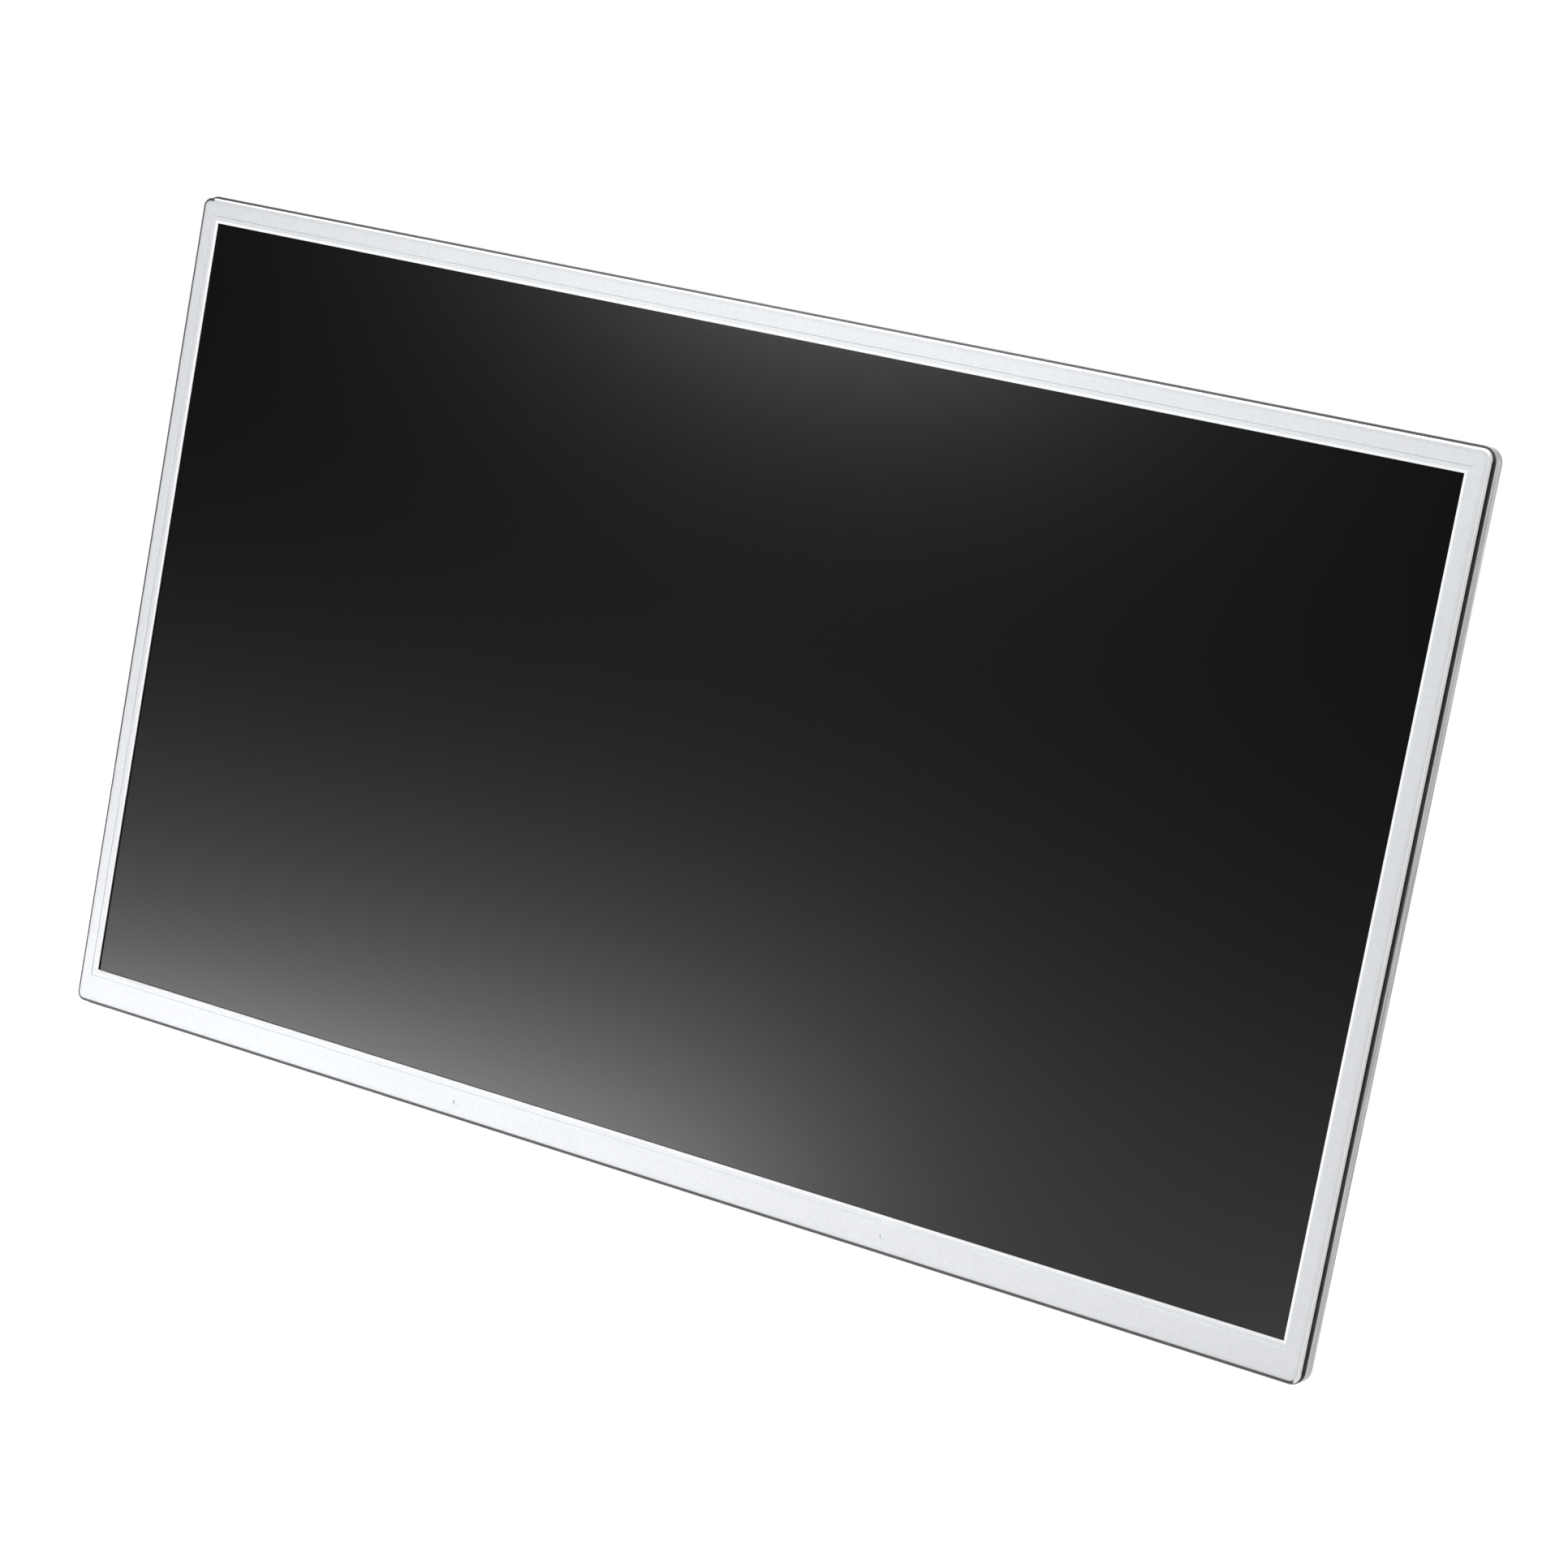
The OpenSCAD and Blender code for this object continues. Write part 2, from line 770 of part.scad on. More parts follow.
module backlight_flex()
    color("#b5762a") {
        translate([flex_x, 0, 0])
            along_x(flex_w) {
                translate([light_depth, strip_top])
                    square([body_depth + flex_t - flex_bend_r - light_depth, flex_t]);
                translate([body_depth + flex_t - flex_bend_r, strip_top + flex_bend_r])
                    fold(flex_bend_r, flex_t, 1, -1);
                translate([body_depth, strip_top + flex_bend_r])
                    square([flex_t, flex_z + flex_w / 2 - strip_top - flex_bend_r]);
            }
        plate(body_depth, flex_t)
            translate([flex_turn_x, flex_z - flex_w / 2])
                square([flex_x - flex_turn_x, flex_w]);
        // Rise from the chassis to the control board's socket
        translate([0, 0, flex_z])
            linear_extrude(height = flex_w, center = true)
                polygon([
                    [flex_turn_x, body_depth - mount_depth],
                    [flex_turn_x, body_depth + flex_t - mount_depth],
                    [flex_rise_x, board_face + link_lift + flex_t - mount_depth],
                    [flex_plug_x, board_face + link_lift + flex_t - mount_depth],
                    [flex_plug_x, board_face + link_lift - mount_depth],
                    [flex_rise_x, board_face + link_lift - mount_depth]
                ]);
    }

// A pressed bead with round ends: its outside, or its hollow when shrunk by the sheet
module bead(length, width, height) {
    top_w = width - 2 * height;
    run = length - width;
    for (s = [-1, 1])
        translate([s * run / 2, 0, 0])
            cylinder(h = height, r1 = width / 2, r2 = top_w / 2);
    rotate([90, 0, 90])
        linear_extrude(height = run, center = true)
            polygon([[-width / 2, 0], [width / 2, 0], [top_w / 2, height], [-top_w / 2, height]]);
}

module all_beads(length_cut, width_cut, depth)
    for (b = beads)
        translate([b[0], depth - mount_depth, b[1]])
            rotate([-90, 0, 0])
                rotate([0, 0, -b[3]])
                    bead(b[2] - length_cut, bead_w - width_cut, boss_h);

module back_chassis()
    color("#c3c6c9")
        difference() {
            union() {
                plate(pan_depth, chassis_t)
                    rounded_rect(
                        chassis_w - 2 * (rim_step + chassis_fold_r),
                        chassis_h - 2 * (rim_step + chassis_fold_r),
                        chassis_corner_r - rim_step - chassis_fold_r
                    );
                sweep_outline(chassis_w, chassis_h, chassis_corner_r) {
                    union() {
                        translate([-chassis_t, rim_depth])
                            square([chassis_t, rim_bead]);
                        translate([-chassis_t - rim_step, rim_depth + rim_step])
                            square([chassis_t, body_depth - chassis_fold_r - rim_depth - rim_step]);
                        translate([-chassis_fold_r - rim_step, body_depth - chassis_fold_r])
                            fold(chassis_fold_r, chassis_t, 1, 1);
                    }
                }
                all_beads(0, 0, body_depth);
                for (p = concat(board_screw_points, shield_screw_points))
                    post(p, body_depth, boss_h, boss_r, boss_top_r);
                for (p = mount_points)
                    post(p, body_depth, pad_h, pad_r, pad_top_r);
            }
            all_beads(2 * chassis_t, 2 * chassis_t, pan_depth);
            for (p = concat(board_screw_points, shield_screw_points)) {
                post(p, pan_depth, boss_h, boss_r - chassis_t, boss_top_r - chassis_t);
                post(p, pan_depth, chassis_t + boss_h + over, board_tap_r);
            }
            for (p = mount_points) {
                post(p, pan_depth, pad_h, pad_r - chassis_t, pad_top_r - chassis_t);
                post(p, pan_depth, chassis_t + pad_h + over, nut_r);
            }
            for (p = chassis_screw_points)
                post(p, pan_depth - over, chassis_t + 2 * over, self_tap_r + screw_gap);
            // Slots where the driver films and the backlight's tail come out
            plate(pan_depth - over, chassis_t + 2 * over) {
                for (x = driver_xs)
                    translate([x - driver_w / 2 - driver_side, -driver_face - driver_slot_out])
                        square([
                            driver_w + 2 * driver_side,
                            driver_slot_out + driver_t + driver_slot_in
                        ]);
                translate([flex_x, strip_top])
                    square([flex_w + 2 * flex_slot_side, flex_slot_h], center = true);
                translate([-tool_hole_x, tool_hole_z])
                    circle(tool_hole_r);
                translate([tool_hole_x, tool_hole_z])
                    oblong(3 * tool_hole_r, 2 * tool_hole_r);
            }
        }

module mount_nuts()
    color("#caa75a")
        for (p = mount_points)
            difference() {
                union() {
                    post(p, mount_depth - chassis_t - nut_head_h, nut_head_h, nut_head_r);
                    post(p, mount_depth - chassis_t, chassis_t, nut_r);
                }
                post(p, body_depth - over, pad_h + 2 * over, nut_core_r);
            }

module driver_films()
    color("#a8641f")
        for (x = driver_xs)
            translate([x, 0, 0])
                along_x(driver_w) {
                    front = tft_depth - driver_t;
                    back = board_face + driver_t;
                    bend_z = driver_bend_r - driver_face;
                    translate([front, bend_z])
                        square([driver_t, tft_low + driver_lap - bend_z]);
                    translate([front + driver_bend_r, bend_z])
                        fold(driver_bend_r, driver_t, -1, -1);
                    translate([front + driver_bend_r, -driver_face])
                        square([back - front - 2 * driver_bend_r, driver_t]);
                    translate([back - driver_bend_r, bend_z])
                        fold(driver_bend_r, driver_t, 1, -1);
                    translate([board_face, bend_z])
                        square([driver_t, source_low + driver_lap - bend_z]);
                }

module driver_chips()
    color("#3c4147")
        plate(board_face + driver_t, chip_t)
            for (x = driver_xs)
                translate([x, (source_low + driver_bend_r - driver_face) / 2])
                    square([chip_l, chip_w], center = true);

module board_insulators()
    color("#22262a")
        plate(body_depth, insulator_t)
            difference() {
                union() {
                    translate([-source_w / 2 - insulator_edge, source_low - insulator_edge])
                        square([source_w + 2 * insulator_edge, source_h + 2 * insulator_edge]);
                    translate([-control_w / 2, control_low])
                        square([control_w, control_h]);
                }
                for (p = board_screw_points)
                    translate(p)
                        circle(boss_r + insulator_gap);
            }

module board_outline(width, height, points)
    difference() {
        rounded_rect(width, height, board_corner_r);
        for (p = points)
            translate(p)
                circle(board_hole_r);
    }

module source_board()
    color("#1f6b45")
        plate(boss_depth, board_t)
            translate([0, source_low + source_h / 2])
                board_outline(
                    source_w, source_h,
                    [for (p = source_screw_points) [p[0], p[1] - source_low - source_h / 2]]
                );

module control_board()
    color("#1f6b45")
        plate(boss_depth, board_t)
            translate([0, control_mid])
                board_outline(
                    control_w, control_h,
                    [for (p = control_screw_points) [p[0], p[1] - control_mid]]
                );

// A low socket on a board, its mouth facing +Z before it is turned
module flex_socket(width)
    translate([-width / 2, board_face - mount_depth, -socket_d])
        difference() {
            cube([width, socket_h, socket_d]);
            translate([socket_end, link_lift, socket_d - socket_in])
                cube([width - 2 * socket_end, socket_slot_h, socket_in + over]);
        }

module board_sockets()
    color("#e8e4d6") {
        for (s = [-1, 1]) {
            translate([s * link_x, 0, source_top - socket_edge])
                flex_socket(link_socket_w);
            translate([s * link_x, 0, control_low + socket_edge])
                rotate([0, 180, 0])
                    flex_socket(link_socket_w);
        }
        translate([control_w / 2 + socket_edge, 0, flex_z])
            rotate([0, 90, 0])
                flex_socket(flex_w + 2 * socket_end);
    }

module link_flexes()
    color("#e9ebee")
        plate(board_face + link_lift, link_t)
            for (s = [-1, 1])
                translate([s * link_x - link_w / 2, source_top + plug_gap - socket_edge - socket_in])
                    square([link_w, board_gap + 2 * (socket_edge + socket_in - plug_gap)]);

module control_chips()
    color("#202225")
        for (c = chips)
            plate(board_face, c[4])
                translate([c[0], control_mid + c[1]])
                    square([c[2], c[3]], center = true);

module power_coils()
    color("#4b4d52")
        for (c = coils)
            post([c[0], control_mid + c[1]], board_face, coil_h, coil_r);

// A cable connector: a shell on the board's edge with a slot for the plug
module cable_connector(width)
    translate([-width / 2, board_face - mount_depth, connector_out - connector_d])
        difference() {
            cube([width, connector_h, connector_d]);
            translate([connector_wall, connector_floor, connector_back])
                cube([width - 2 * connector_wall, connector_h - 2 * connector_floor, connector_d]);
            translate([key_in, connector_h - over, connector_d - key_d])
                cube([width - 2 * key_in, 2 * over, key_d + over]);
        }

module signal_connector()
    color("#b9bcc0")
        translate([0, 0, control_top])
            cable_connector(signal_w);

module power_connector()
    color("#efe9d8")
        translate([-control_w / 2, 0, flex_z])
            rotate([0, -90, 0])
                cable_connector(side_socket_w);

module shield_outline(inset)
    rounded_rect(shield_w - 2 * inset, shield_h - 2 * inset, shield_r - inset);

module control_shield()
    color("#c9ccce")
        difference() {
            union() {
                plate(shield_depth, shield_t)
                    translate([0, control_mid])
                        shield_outline(shield_bend);
                translate([0, 0, control_mid])
                    sweep_outline(shield_w, shield_h, shield_r) {
                        union() {
                            translate([-shield_bend, shield_back - shield_bend])
                                fold(shield_bend, shield_t, 1, 1);
                            translate([-shield_t, body_depth + shield_lift])
                                square([shield_t, shield_back - shield_bend - body_depth - shield_lift]);
                        }
                    }
                for (p = shield_screw_points)
                    plate(boss_depth, shield_t) {
                        translate(p)
                            circle(ear_r);
                        translate([p[0] - sign(p[0]) * ear_out / 2, p[1]])
                            square([ear_out, 2 * ear_r], center = true);
                    }
            }
            for (p = shield_screw_points)
                post(p, boss_depth - over, shield_t + 2 * over, ear_hole_r);
            // Gaps for the plugs, the backlight's tail and the link flexes
            plate(body_depth, shield_back - body_depth + over) {
                translate([0, control_top])
                    square(
                        [signal_w + 2 * plug_side_gap, 2 * (connector_d + plug_side_gap)],
                        center = true
                    );
                for (s = [-1, 1])
                    translate([s * control_w / 2, flex_z])
                        square(
                            [2 * (connector_d + plug_side_gap), side_socket_w + 2 * side_socket_gap],
                            center = true
                        );
            }
            plate(body_depth, board_face + link_lift + link_t + link_gap - body_depth)
                for (s = [-1, 1])
                    translate([s * link_x, control_low - shield_gap])
                        square([link_socket_w, 2 * over], center = true);
            plate(shield_depth - over, shield_t + 2 * over)
                for (i = [0 : vent_cols - 1], j = [0 : vent_rows - 1])
                    translate([
                        (i - (vent_cols - 1) / 2) * vent_dx,
                        vent_z + (j - (vent_rows - 1) / 2) * vent_dz
                    ])
                        oblong(vent_l, vent_w);
        }

// A pan-head screw that goes in from the back
module back_screw(point, seat, head_r, head_h, shank_r, length) {
    post(point, seat, head_h, head_r, head_r - head_round);
    post(point, seat - length, length, shank_r - thread_gap);
}

module chassis_screws()
    color("#d9dbdd")
        for (p = chassis_screw_points)
            back_screw(p, body_depth, small_head_r, small_head_h, self_tap_r, self_tap_depth);

module board_screws()
    color("#d9dbdd")
        for (p = board_screw_points)
            back_screw(p, board_face, board_head_r, board_head_h, board_tap_r, board_t + tap_depth);

module shield_screws()
    color("#d9dbdd")
        for (p = shield_screw_points)
            back_screw(
                p, boss_depth + shield_t, board_head_r, board_head_h, board_tap_r, shield_t + tap_depth
            );

front_bezel();
bezel_tape();
bezel_gasket();
front_polarizer();
color_filter_glass();
tft_glass();
rear_polarizer();
cell_tape();
guide_panel();
upper_diffuser();
prism_sheet();
lower_diffuser();
light_guide();
reflector_sheet();
light_guide_bumpers();
led_packages();
led_strip();
thermal_tape();
led_bracket();
backlight_flex();
back_chassis();
mount_nuts();
driver_films();
driver_chips();
board_insulators();
source_board();
control_board();
board_sockets();
link_flexes();
control_chips();
power_coils();
signal_connector();
power_connector();
control_shield();
chassis_screws();
board_screws();
shield_screws();
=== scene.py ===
"""LCD panel: materials, small details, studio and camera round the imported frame."""

import math
import random

import bmesh
import bpy
from mathutils import Matrix, Vector


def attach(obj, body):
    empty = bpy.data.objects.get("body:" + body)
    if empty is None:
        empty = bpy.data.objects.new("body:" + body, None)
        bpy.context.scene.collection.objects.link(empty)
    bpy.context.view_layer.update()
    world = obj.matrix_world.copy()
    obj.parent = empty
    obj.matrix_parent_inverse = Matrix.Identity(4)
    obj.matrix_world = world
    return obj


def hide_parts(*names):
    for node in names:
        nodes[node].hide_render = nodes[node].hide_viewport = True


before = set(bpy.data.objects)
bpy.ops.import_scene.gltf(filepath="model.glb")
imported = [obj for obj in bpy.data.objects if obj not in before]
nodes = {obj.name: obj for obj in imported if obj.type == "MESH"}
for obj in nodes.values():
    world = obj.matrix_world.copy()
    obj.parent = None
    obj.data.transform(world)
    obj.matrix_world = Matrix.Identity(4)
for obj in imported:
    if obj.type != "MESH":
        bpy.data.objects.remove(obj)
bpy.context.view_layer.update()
MM = 0.001
WAVE_PITCH = 0.314  # the wave texture's scale for a pitch of one unit
rng = random.Random(7)

# Sizes of the CAD pieces that the looks and the small parts follow, in metres
MOUNT_DEPTH = 11.05 * MM
BOARD_FACE = 11.35 * MM - MOUNT_DEPTH
RIM_FRONT = 3.0 * MM - MOUNT_DEPTH
BEZEL_R = 3.2 * MM
VIEW_Z = 2.15 * MM
ACTIVE_W = 476.64 * MM
ACTIVE_H = 268.11 * MM
VIEW_MARGIN = 1.6 * MM
LIP_W = 0.9 * MM
SOURCE_LOW = -136.105 * MM
CONTROL_LOW = -116.105 * MM
DRIVER_XS = [79.44 * (k - 2.5) for k in range(6)]
NUT_CORE_R = 1.25 * MM
NUT_R = 2.1 * MM
NUT_HEAD_H = 1.3 * MM
PLUG_FLOOR = 0.4 * MM
PLUG_BACK = 1.2 * MM


class Look:
    """A node material in object coordinates, so a pattern keeps its real size."""

    def __init__(self, name, rough=0.5, metallic=0.0, specular=0.5):
        self.mat = bpy.data.materials.new(name)
        self.mat.use_nodes = True
        self.tree = self.mat.node_tree
        self.shader = self.tree.nodes["Principled BSDF"]
        self.place = self.add("ShaderNodeTexCoord").outputs["Object"]
        self.set("Roughness", rough)
        self.set("Metallic", metallic)
        self.set("Specular IOR Level", specular)

    def add(self, kind, **settings):
        node = self.tree.nodes.new(kind)
        for key, value in settings.items():
            setattr(node, key, value)
        return node

    def set(self, socket, value):
        self.shader.inputs[socket].default_value = value

    def link(self, output, target):
        self.tree.links.new(output, target)

    def mapped(self, scale):
        node = self.add("ShaderNodeMapping")
        node.inputs["Scale"].default_value = scale
        self.link(self.place, node.inputs["Vector"])
        return node.outputs[0]

    def noise(self, per_mm, detail=3.0, vector=None, rough=0.5):
        node = self.add("ShaderNodeTexNoise")
        node.inputs["Scale"].default_value = per_mm / MM
        node.inputs["Detail"].default_value = detail
        node.inputs["Roughness"].default_value = rough
        self.link(vector or self.place, node.inputs["Vector"])
        return node.outputs[0]

    def cells(self, per_mm, vector=None, output="Color"):
        node = self.add("ShaderNodeTexVoronoi")
        node.inputs["Scale"].default_value = per_mm / MM
        self.link(vector or self.place, node.inputs["Vector"])
        return node.outputs[output]

    def bands(self, along, pitch_mm, profile="SIN"):
        """Stripes that repeat at a pitch along one axis."""
        node = self.add("ShaderNodeTexWave", bands_direction=along, wave_profile=profile)
        node.inputs["Scale"].default_value = WAVE_PITCH / pitch_mm / MM
        self.link(self.place, node.inputs["Vector"])
        return node.outputs[1]

    def axis(self, letter):
        node = self.add("ShaderNodeSeparateXYZ")
        self.link(self.place, node.inputs[0])
        return node.outputs[letter]

    def math(self, operation, a, b=0.0):
        node = self.add("ShaderNodeMath", operation=operation)
        for k, value in enumerate((a, b)):
            if isinstance(value, (int, float)):
                node.inputs[k].default_value = value
            else:
                self.link(value, node.inputs[k])
        return node.outputs[0]

    def ramp(self, factor, *stops):
        node = self.add("ShaderNodeValToRGB")
        while len(node.color_ramp.elements) < len(stops):
            node.color_ramp.elements.new(0.5)
        for element, (at, colour) in zip(node.color_ramp.elements, stops):
            element.position = at
            shade = (colour,) * 3 if isinstance(colour, (int, float)) else colour
            element.color = (*shade, 1.0)
        self.link(factor, node.inputs[0])
        return node.outputs[0]

    def mix(self, factor, a, b, blend="MIX"):
        node = self.add("ShaderNodeMix", data_type="RGBA", blend_type=blend)
        for index, value in ((0, factor), (6, a), (7, b)):
            if isinstance(value, (int, float)):
                node.inputs[index].default_value = value
            elif isinstance(value, tuple):
                node.inputs[index].default_value = (*value, 1.0)
            else:
                self.link(value, node.inputs[index])
        return node.outputs[2]

    def span(self, value, low_mm, high_mm):
        """0 at one distance and 1 at the other, both in millimetres."""
        node = self.add("ShaderNodeMapRange")
        node.inputs["From Min"].default_value = low_mm * MM
        node.inputs["From Max"].default_value = high_mm * MM
        self.link(value, node.inputs["Value"])
        return node.outputs[0]

    def beyond(self, half_w, half_h, middle, corner=0.0):
        """How far a point lies outside a rectangle in the XZ plane, its corners rounded or sharp."""
        side = self.math("SUBTRACT", self.math("ABSOLUTE", self.axis("X")), half_w - corner)
        height = self.math("ABSOLUTE", self.math("SUBTRACT", self.axis("Z"), middle))
        height = self.math("SUBTRACT", height, half_h - corner)
        flat = self.math("MAXIMUM", side, height)
        if not corner:
            return flat
        one, two = self.math("MAXIMUM", side, 0.0), self.math("MAXIMUM", height, 0.0)
        squares = self.math("ADD", self.math("MULTIPLY", one, one), self.math("MULTIPLY", two, two))
        round_part = self.math("SUBTRACT", self.math("SQRT", squares), corner)
        return self.math("ADD", round_part, self.math("MINIMUM", flat, 0.0))

    def colour(self, output):
        self.link(output, self.shader.inputs["Base Color"])

    def roughness(self, factor, low, high):
        spread = self.add("ShaderNodeMapRange")
        spread.inputs["To Min"].default_value = low
        spread.inputs["To Max"].default_value = high
        self.link(factor, spread.inputs["Value"])
        self.link(spread.outputs[0], self.shader.inputs["Roughness"])

    def bump(self, height, strength, depth_mm):
        node = self.add("ShaderNodeBump")
        node.inputs["Strength"].default_value = strength
        node.inputs["Distance"].default_value = depth_mm * MM
        self.link(height, node.inputs["Height"])
        self.link(node.outputs[0], self.shader.inputs["Normal"])


def zinc_sheet(name, light, dark, low_rough, high_rough, metallic, cell_mm=1.2):
    """Matt zinc-coated steel: faint crystal cells over a fine mottle."""
    look = Look(name, metallic=metallic)
    cell = look.cells(1 / cell_mm)
    shade = look.ramp(cell, (0.2, 0.3), (0.8, 0.7))
    mottle = look.noise(2.2, detail=5.0, rough=0.7)
    cloud = look.noise(0.012, detail=2.0)
    both = look.mix(0.6, shade, mottle)
    both = look.mix(0.2, both, cloud)
    zinc = look.ramp(both, (0.2, dark), (0.8, light))
    look.colour(zinc)
    look.roughness(mottle, low_rough, high_rough)
    look.bump(mottle, 0.25, 0.02)
    return look, zinc


def bezel_sheet():
    """The bezel's zinc sheet, with painted light: a painted highlight on the bevel round the opening,
    painted shade just inside the outline, and round the outside a fold painted as a highlight along the top
    and right and as shade on the left and bottom.
    """
    edge_w, edge_h, bright_w = 4.5 * MM, 3 * MM, 1.5 * MM
    fold_w, shaded_more = 0.55 * MM, 0.5 * MM
    look, zinc = zinc_sheet("bezel_zinc", (0.515, 0.525, 0.54), (0.43, 0.44, 0.455), 0.42, 0.56, 0.3)
    # Painted highlight: the bevel round the opening gets a lighter colour (0.62) than the face, for the
    # light it catches.
    bevel_highlight = look.math("LESS_THAN", look.beyond(
        ACTIVE_W / 2 + VIEW_MARGIN, ACTIVE_H / 2 + VIEW_MARGIN, VIEW_Z), LIP_W)
    spots = [Vector(corner) for corner in nodes["front_bezel"].bound_box]
    low_z, high_z = min(p.z for p in spots), max(p.z for p in spots)
    half_w, half_h = max(p.x for p in spots), (high_z - low_z) / 2
    outer = look.beyond(half_w, half_h, (high_z + low_z) / 2, BEZEL_R)
    # Painted shade: the face darkens to 0.88 of its colour in a band from 2.2 to 0.6 mm inside the outline.
    edge_shade = look.ramp(look.span(outer, -2.2, -0.6), (0.0, 1.0), (1.0, 0.88))
    face = look.mix(1.0, zinc, edge_shade, "MULTIPLY")
    face = look.mix(bevel_highlight, face, (0.62, 0.625, 0.635))
    # Painted light round the outline: a band along the top and right painted as a highlight (0.90), and a
    # wider band on the left and bottom painted as shade (0.05).
    left = look.math("LESS_THAN", look.axis("X"), edge_w - half_w)
    low = look.math("LESS_THAN", look.axis("Z"), low_z + edge_h)
    shaded = look.math("MULTIPLY", look.math("MAXIMUM", left, low),
                       look.math("LESS_THAN", look.axis("X"), half_w - bright_w))
    fold = look.mix(shaded, (0.90, 0.905, 0.91), (0.05, 0.05, 0.052))
    reach = look.math("ADD", look.math("MULTIPLY", shaded, shaded_more), fold_w)
    look.colour(look.mix(look.math("GREATER_THAN", look.math("ADD", outer, reach), 0.0), face, fold))
    return look.mat


def chassis_sheet():
    """The chassis's zinc sheet: drawn flanges with lengthwise lines and painted shade towards their rear,
    and a dark front edge, the sheet's cut edge painted darker as shade of the seam beside the bezel.
    """
    flange_front, cut_edge_and_shade_w = -1.75 * MM, 0.1 * MM
    look, zinc = zinc_sheet(
        "chassis_zinc", (0.50, 0.51, 0.53), (0.35, 0.36, 0.38), 0.32, 0.46, 0.7, cell_mm=2.0)
    depth = look.axis("Y")
    lines = look.noise(1.0, detail=4.0, vector=look.mapped((0.03, 1.3, 0.03)), rough=0.6)
    drawn = look.ramp(lines, (0.36, (0.24, 0.245, 0.255)), (0.62, (0.56, 0.565, 0.575)))
    # Painted shade: the flanges darken to 0.72 of their colour towards their rear end.
    rear = look.ramp(look.span(depth, -3.4, -1.9), (0.0, 1.0), (1.0, 0.72))
    drawn = look.mix(1.0, drawn, rear, "MULTIPLY")
    flange = look.math("LESS_THAN", depth, flange_front)
    # The front edge is painted dark (0.10): the sheet's cut edge, with painted shade of the seam beside the
    # bezel.
    cut_edge_and_shade = look.math("LESS_THAN", depth, RIM_FRONT + cut_edge_and_shade_w)
    look.colour(look.mix(cut_edge_and_shade, look.mix(flange, zinc, drawn), (0.10, 0.10, 0.105)))
    return look.mat


def drawn_metal(name, light, dark, rough, metallic=0.9, along=(1, 14, 14)):
    """Drawn, stamped or turned metal with fine lines along one way."""
    look = Look(name, metallic=metallic)
    lines = look.noise(0.9, detail=5.0, vector=look.mapped(along))
    spots = look.noise(0.5, detail=3.0)
    look.colour(look.ramp(look.mix(0.4, lines, spots), (0.25, dark), (0.75, light)))
    look.roughness(lines, rough - 0.08, rough + 0.1)
    look.bump(lines, 0.2, 0.01)
    return look.mat


def moulded(name, light, dark, rough, grain_mm=0.25, strength=0.25):
    """Moulded or cast plastic with a fine eroded grain."""
    look = Look(name, specular=0.45)
    grain = look.noise(1 / grain_mm, detail=3.0, rough=0.6)
    cloud = look.noise(0.05, detail=2.0)
    look.colour(look.ramp(look.mix(0.5, grain, cloud), (0.25, dark), (0.75, light)))
    look.roughness(grain, rough - 0.06, rough + 0.08)
    look.bump(grain, strength, 0.03)
    return look.mat


def film(name, light, dark, rough, specular=0.4):
    """Thin film or sheet: smooth, with very slow waviness."""
    look = Look(name, specular=specular)
    wave = look.noise(0.02, detail=1.0)
    fine = look.noise(2.5, detail=2.0)
    look.colour(look.ramp(look.mix(0.3, wave, fine), (0.3, dark), (0.7, light)))
    look.roughness(fine, rough - 0.04, rough + 0.06)
    look.bump(wave, 0.3, 0.3)
    return look.mat


def screen_film():
    """Anti-glare film over the cell: a black border round a hardly lighter active area."""
    look = Look("screen_film", specular=0.27, rough=0.22)
    inside = look.math("LESS_THAN", look.beyond(ACTIVE_W / 2, ACTIVE_H / 2, VIEW_Z), 0.0)
    haze = look.noise(0.01, detail=2.0)
    active = look.ramp(haze, (0.3, (0.0004, 0.0005, 0.0005)), (0.7, (0.0007, 0.0007, 0.0007)))
    look.colour(look.mix(inside, (0.0006, 0.0006, 0.0007), active))
    sparkle = look.noise(6.0, detail=2.0)
    look.roughness(sparkle, 0.205, 0.245)
    return look.mat


def circuit_film(name, base, copper, pitch_mm, along):
    """Polyimide film with fine copper tracks showing through."""
    look = Look(name, rough=0.28)
    look.set("Coat Weight", 0.35)
    look.set("Coat Roughness", 0.12)
    tracks = look.ramp(look.bands(along, pitch_mm), (0.42, 0.0), (0.58, 1.0))
    patches = look.cells(0.09, vector=look.mapped((1, 0.2, 0.2)))
    keep = look.ramp(patches, (0.3, 0.35), (0.42, 1.0))
    tint = look.ramp(look.noise(0.15, detail=2.0), (0.3, base), (0.7, tuple(1.25 * c for c in base)))
    look.colour(look.mix(look.math("MULTIPLY", tracks, keep), tint, copper))
    look.bump(tracks, 0.25, 0.02)
    return look.mat


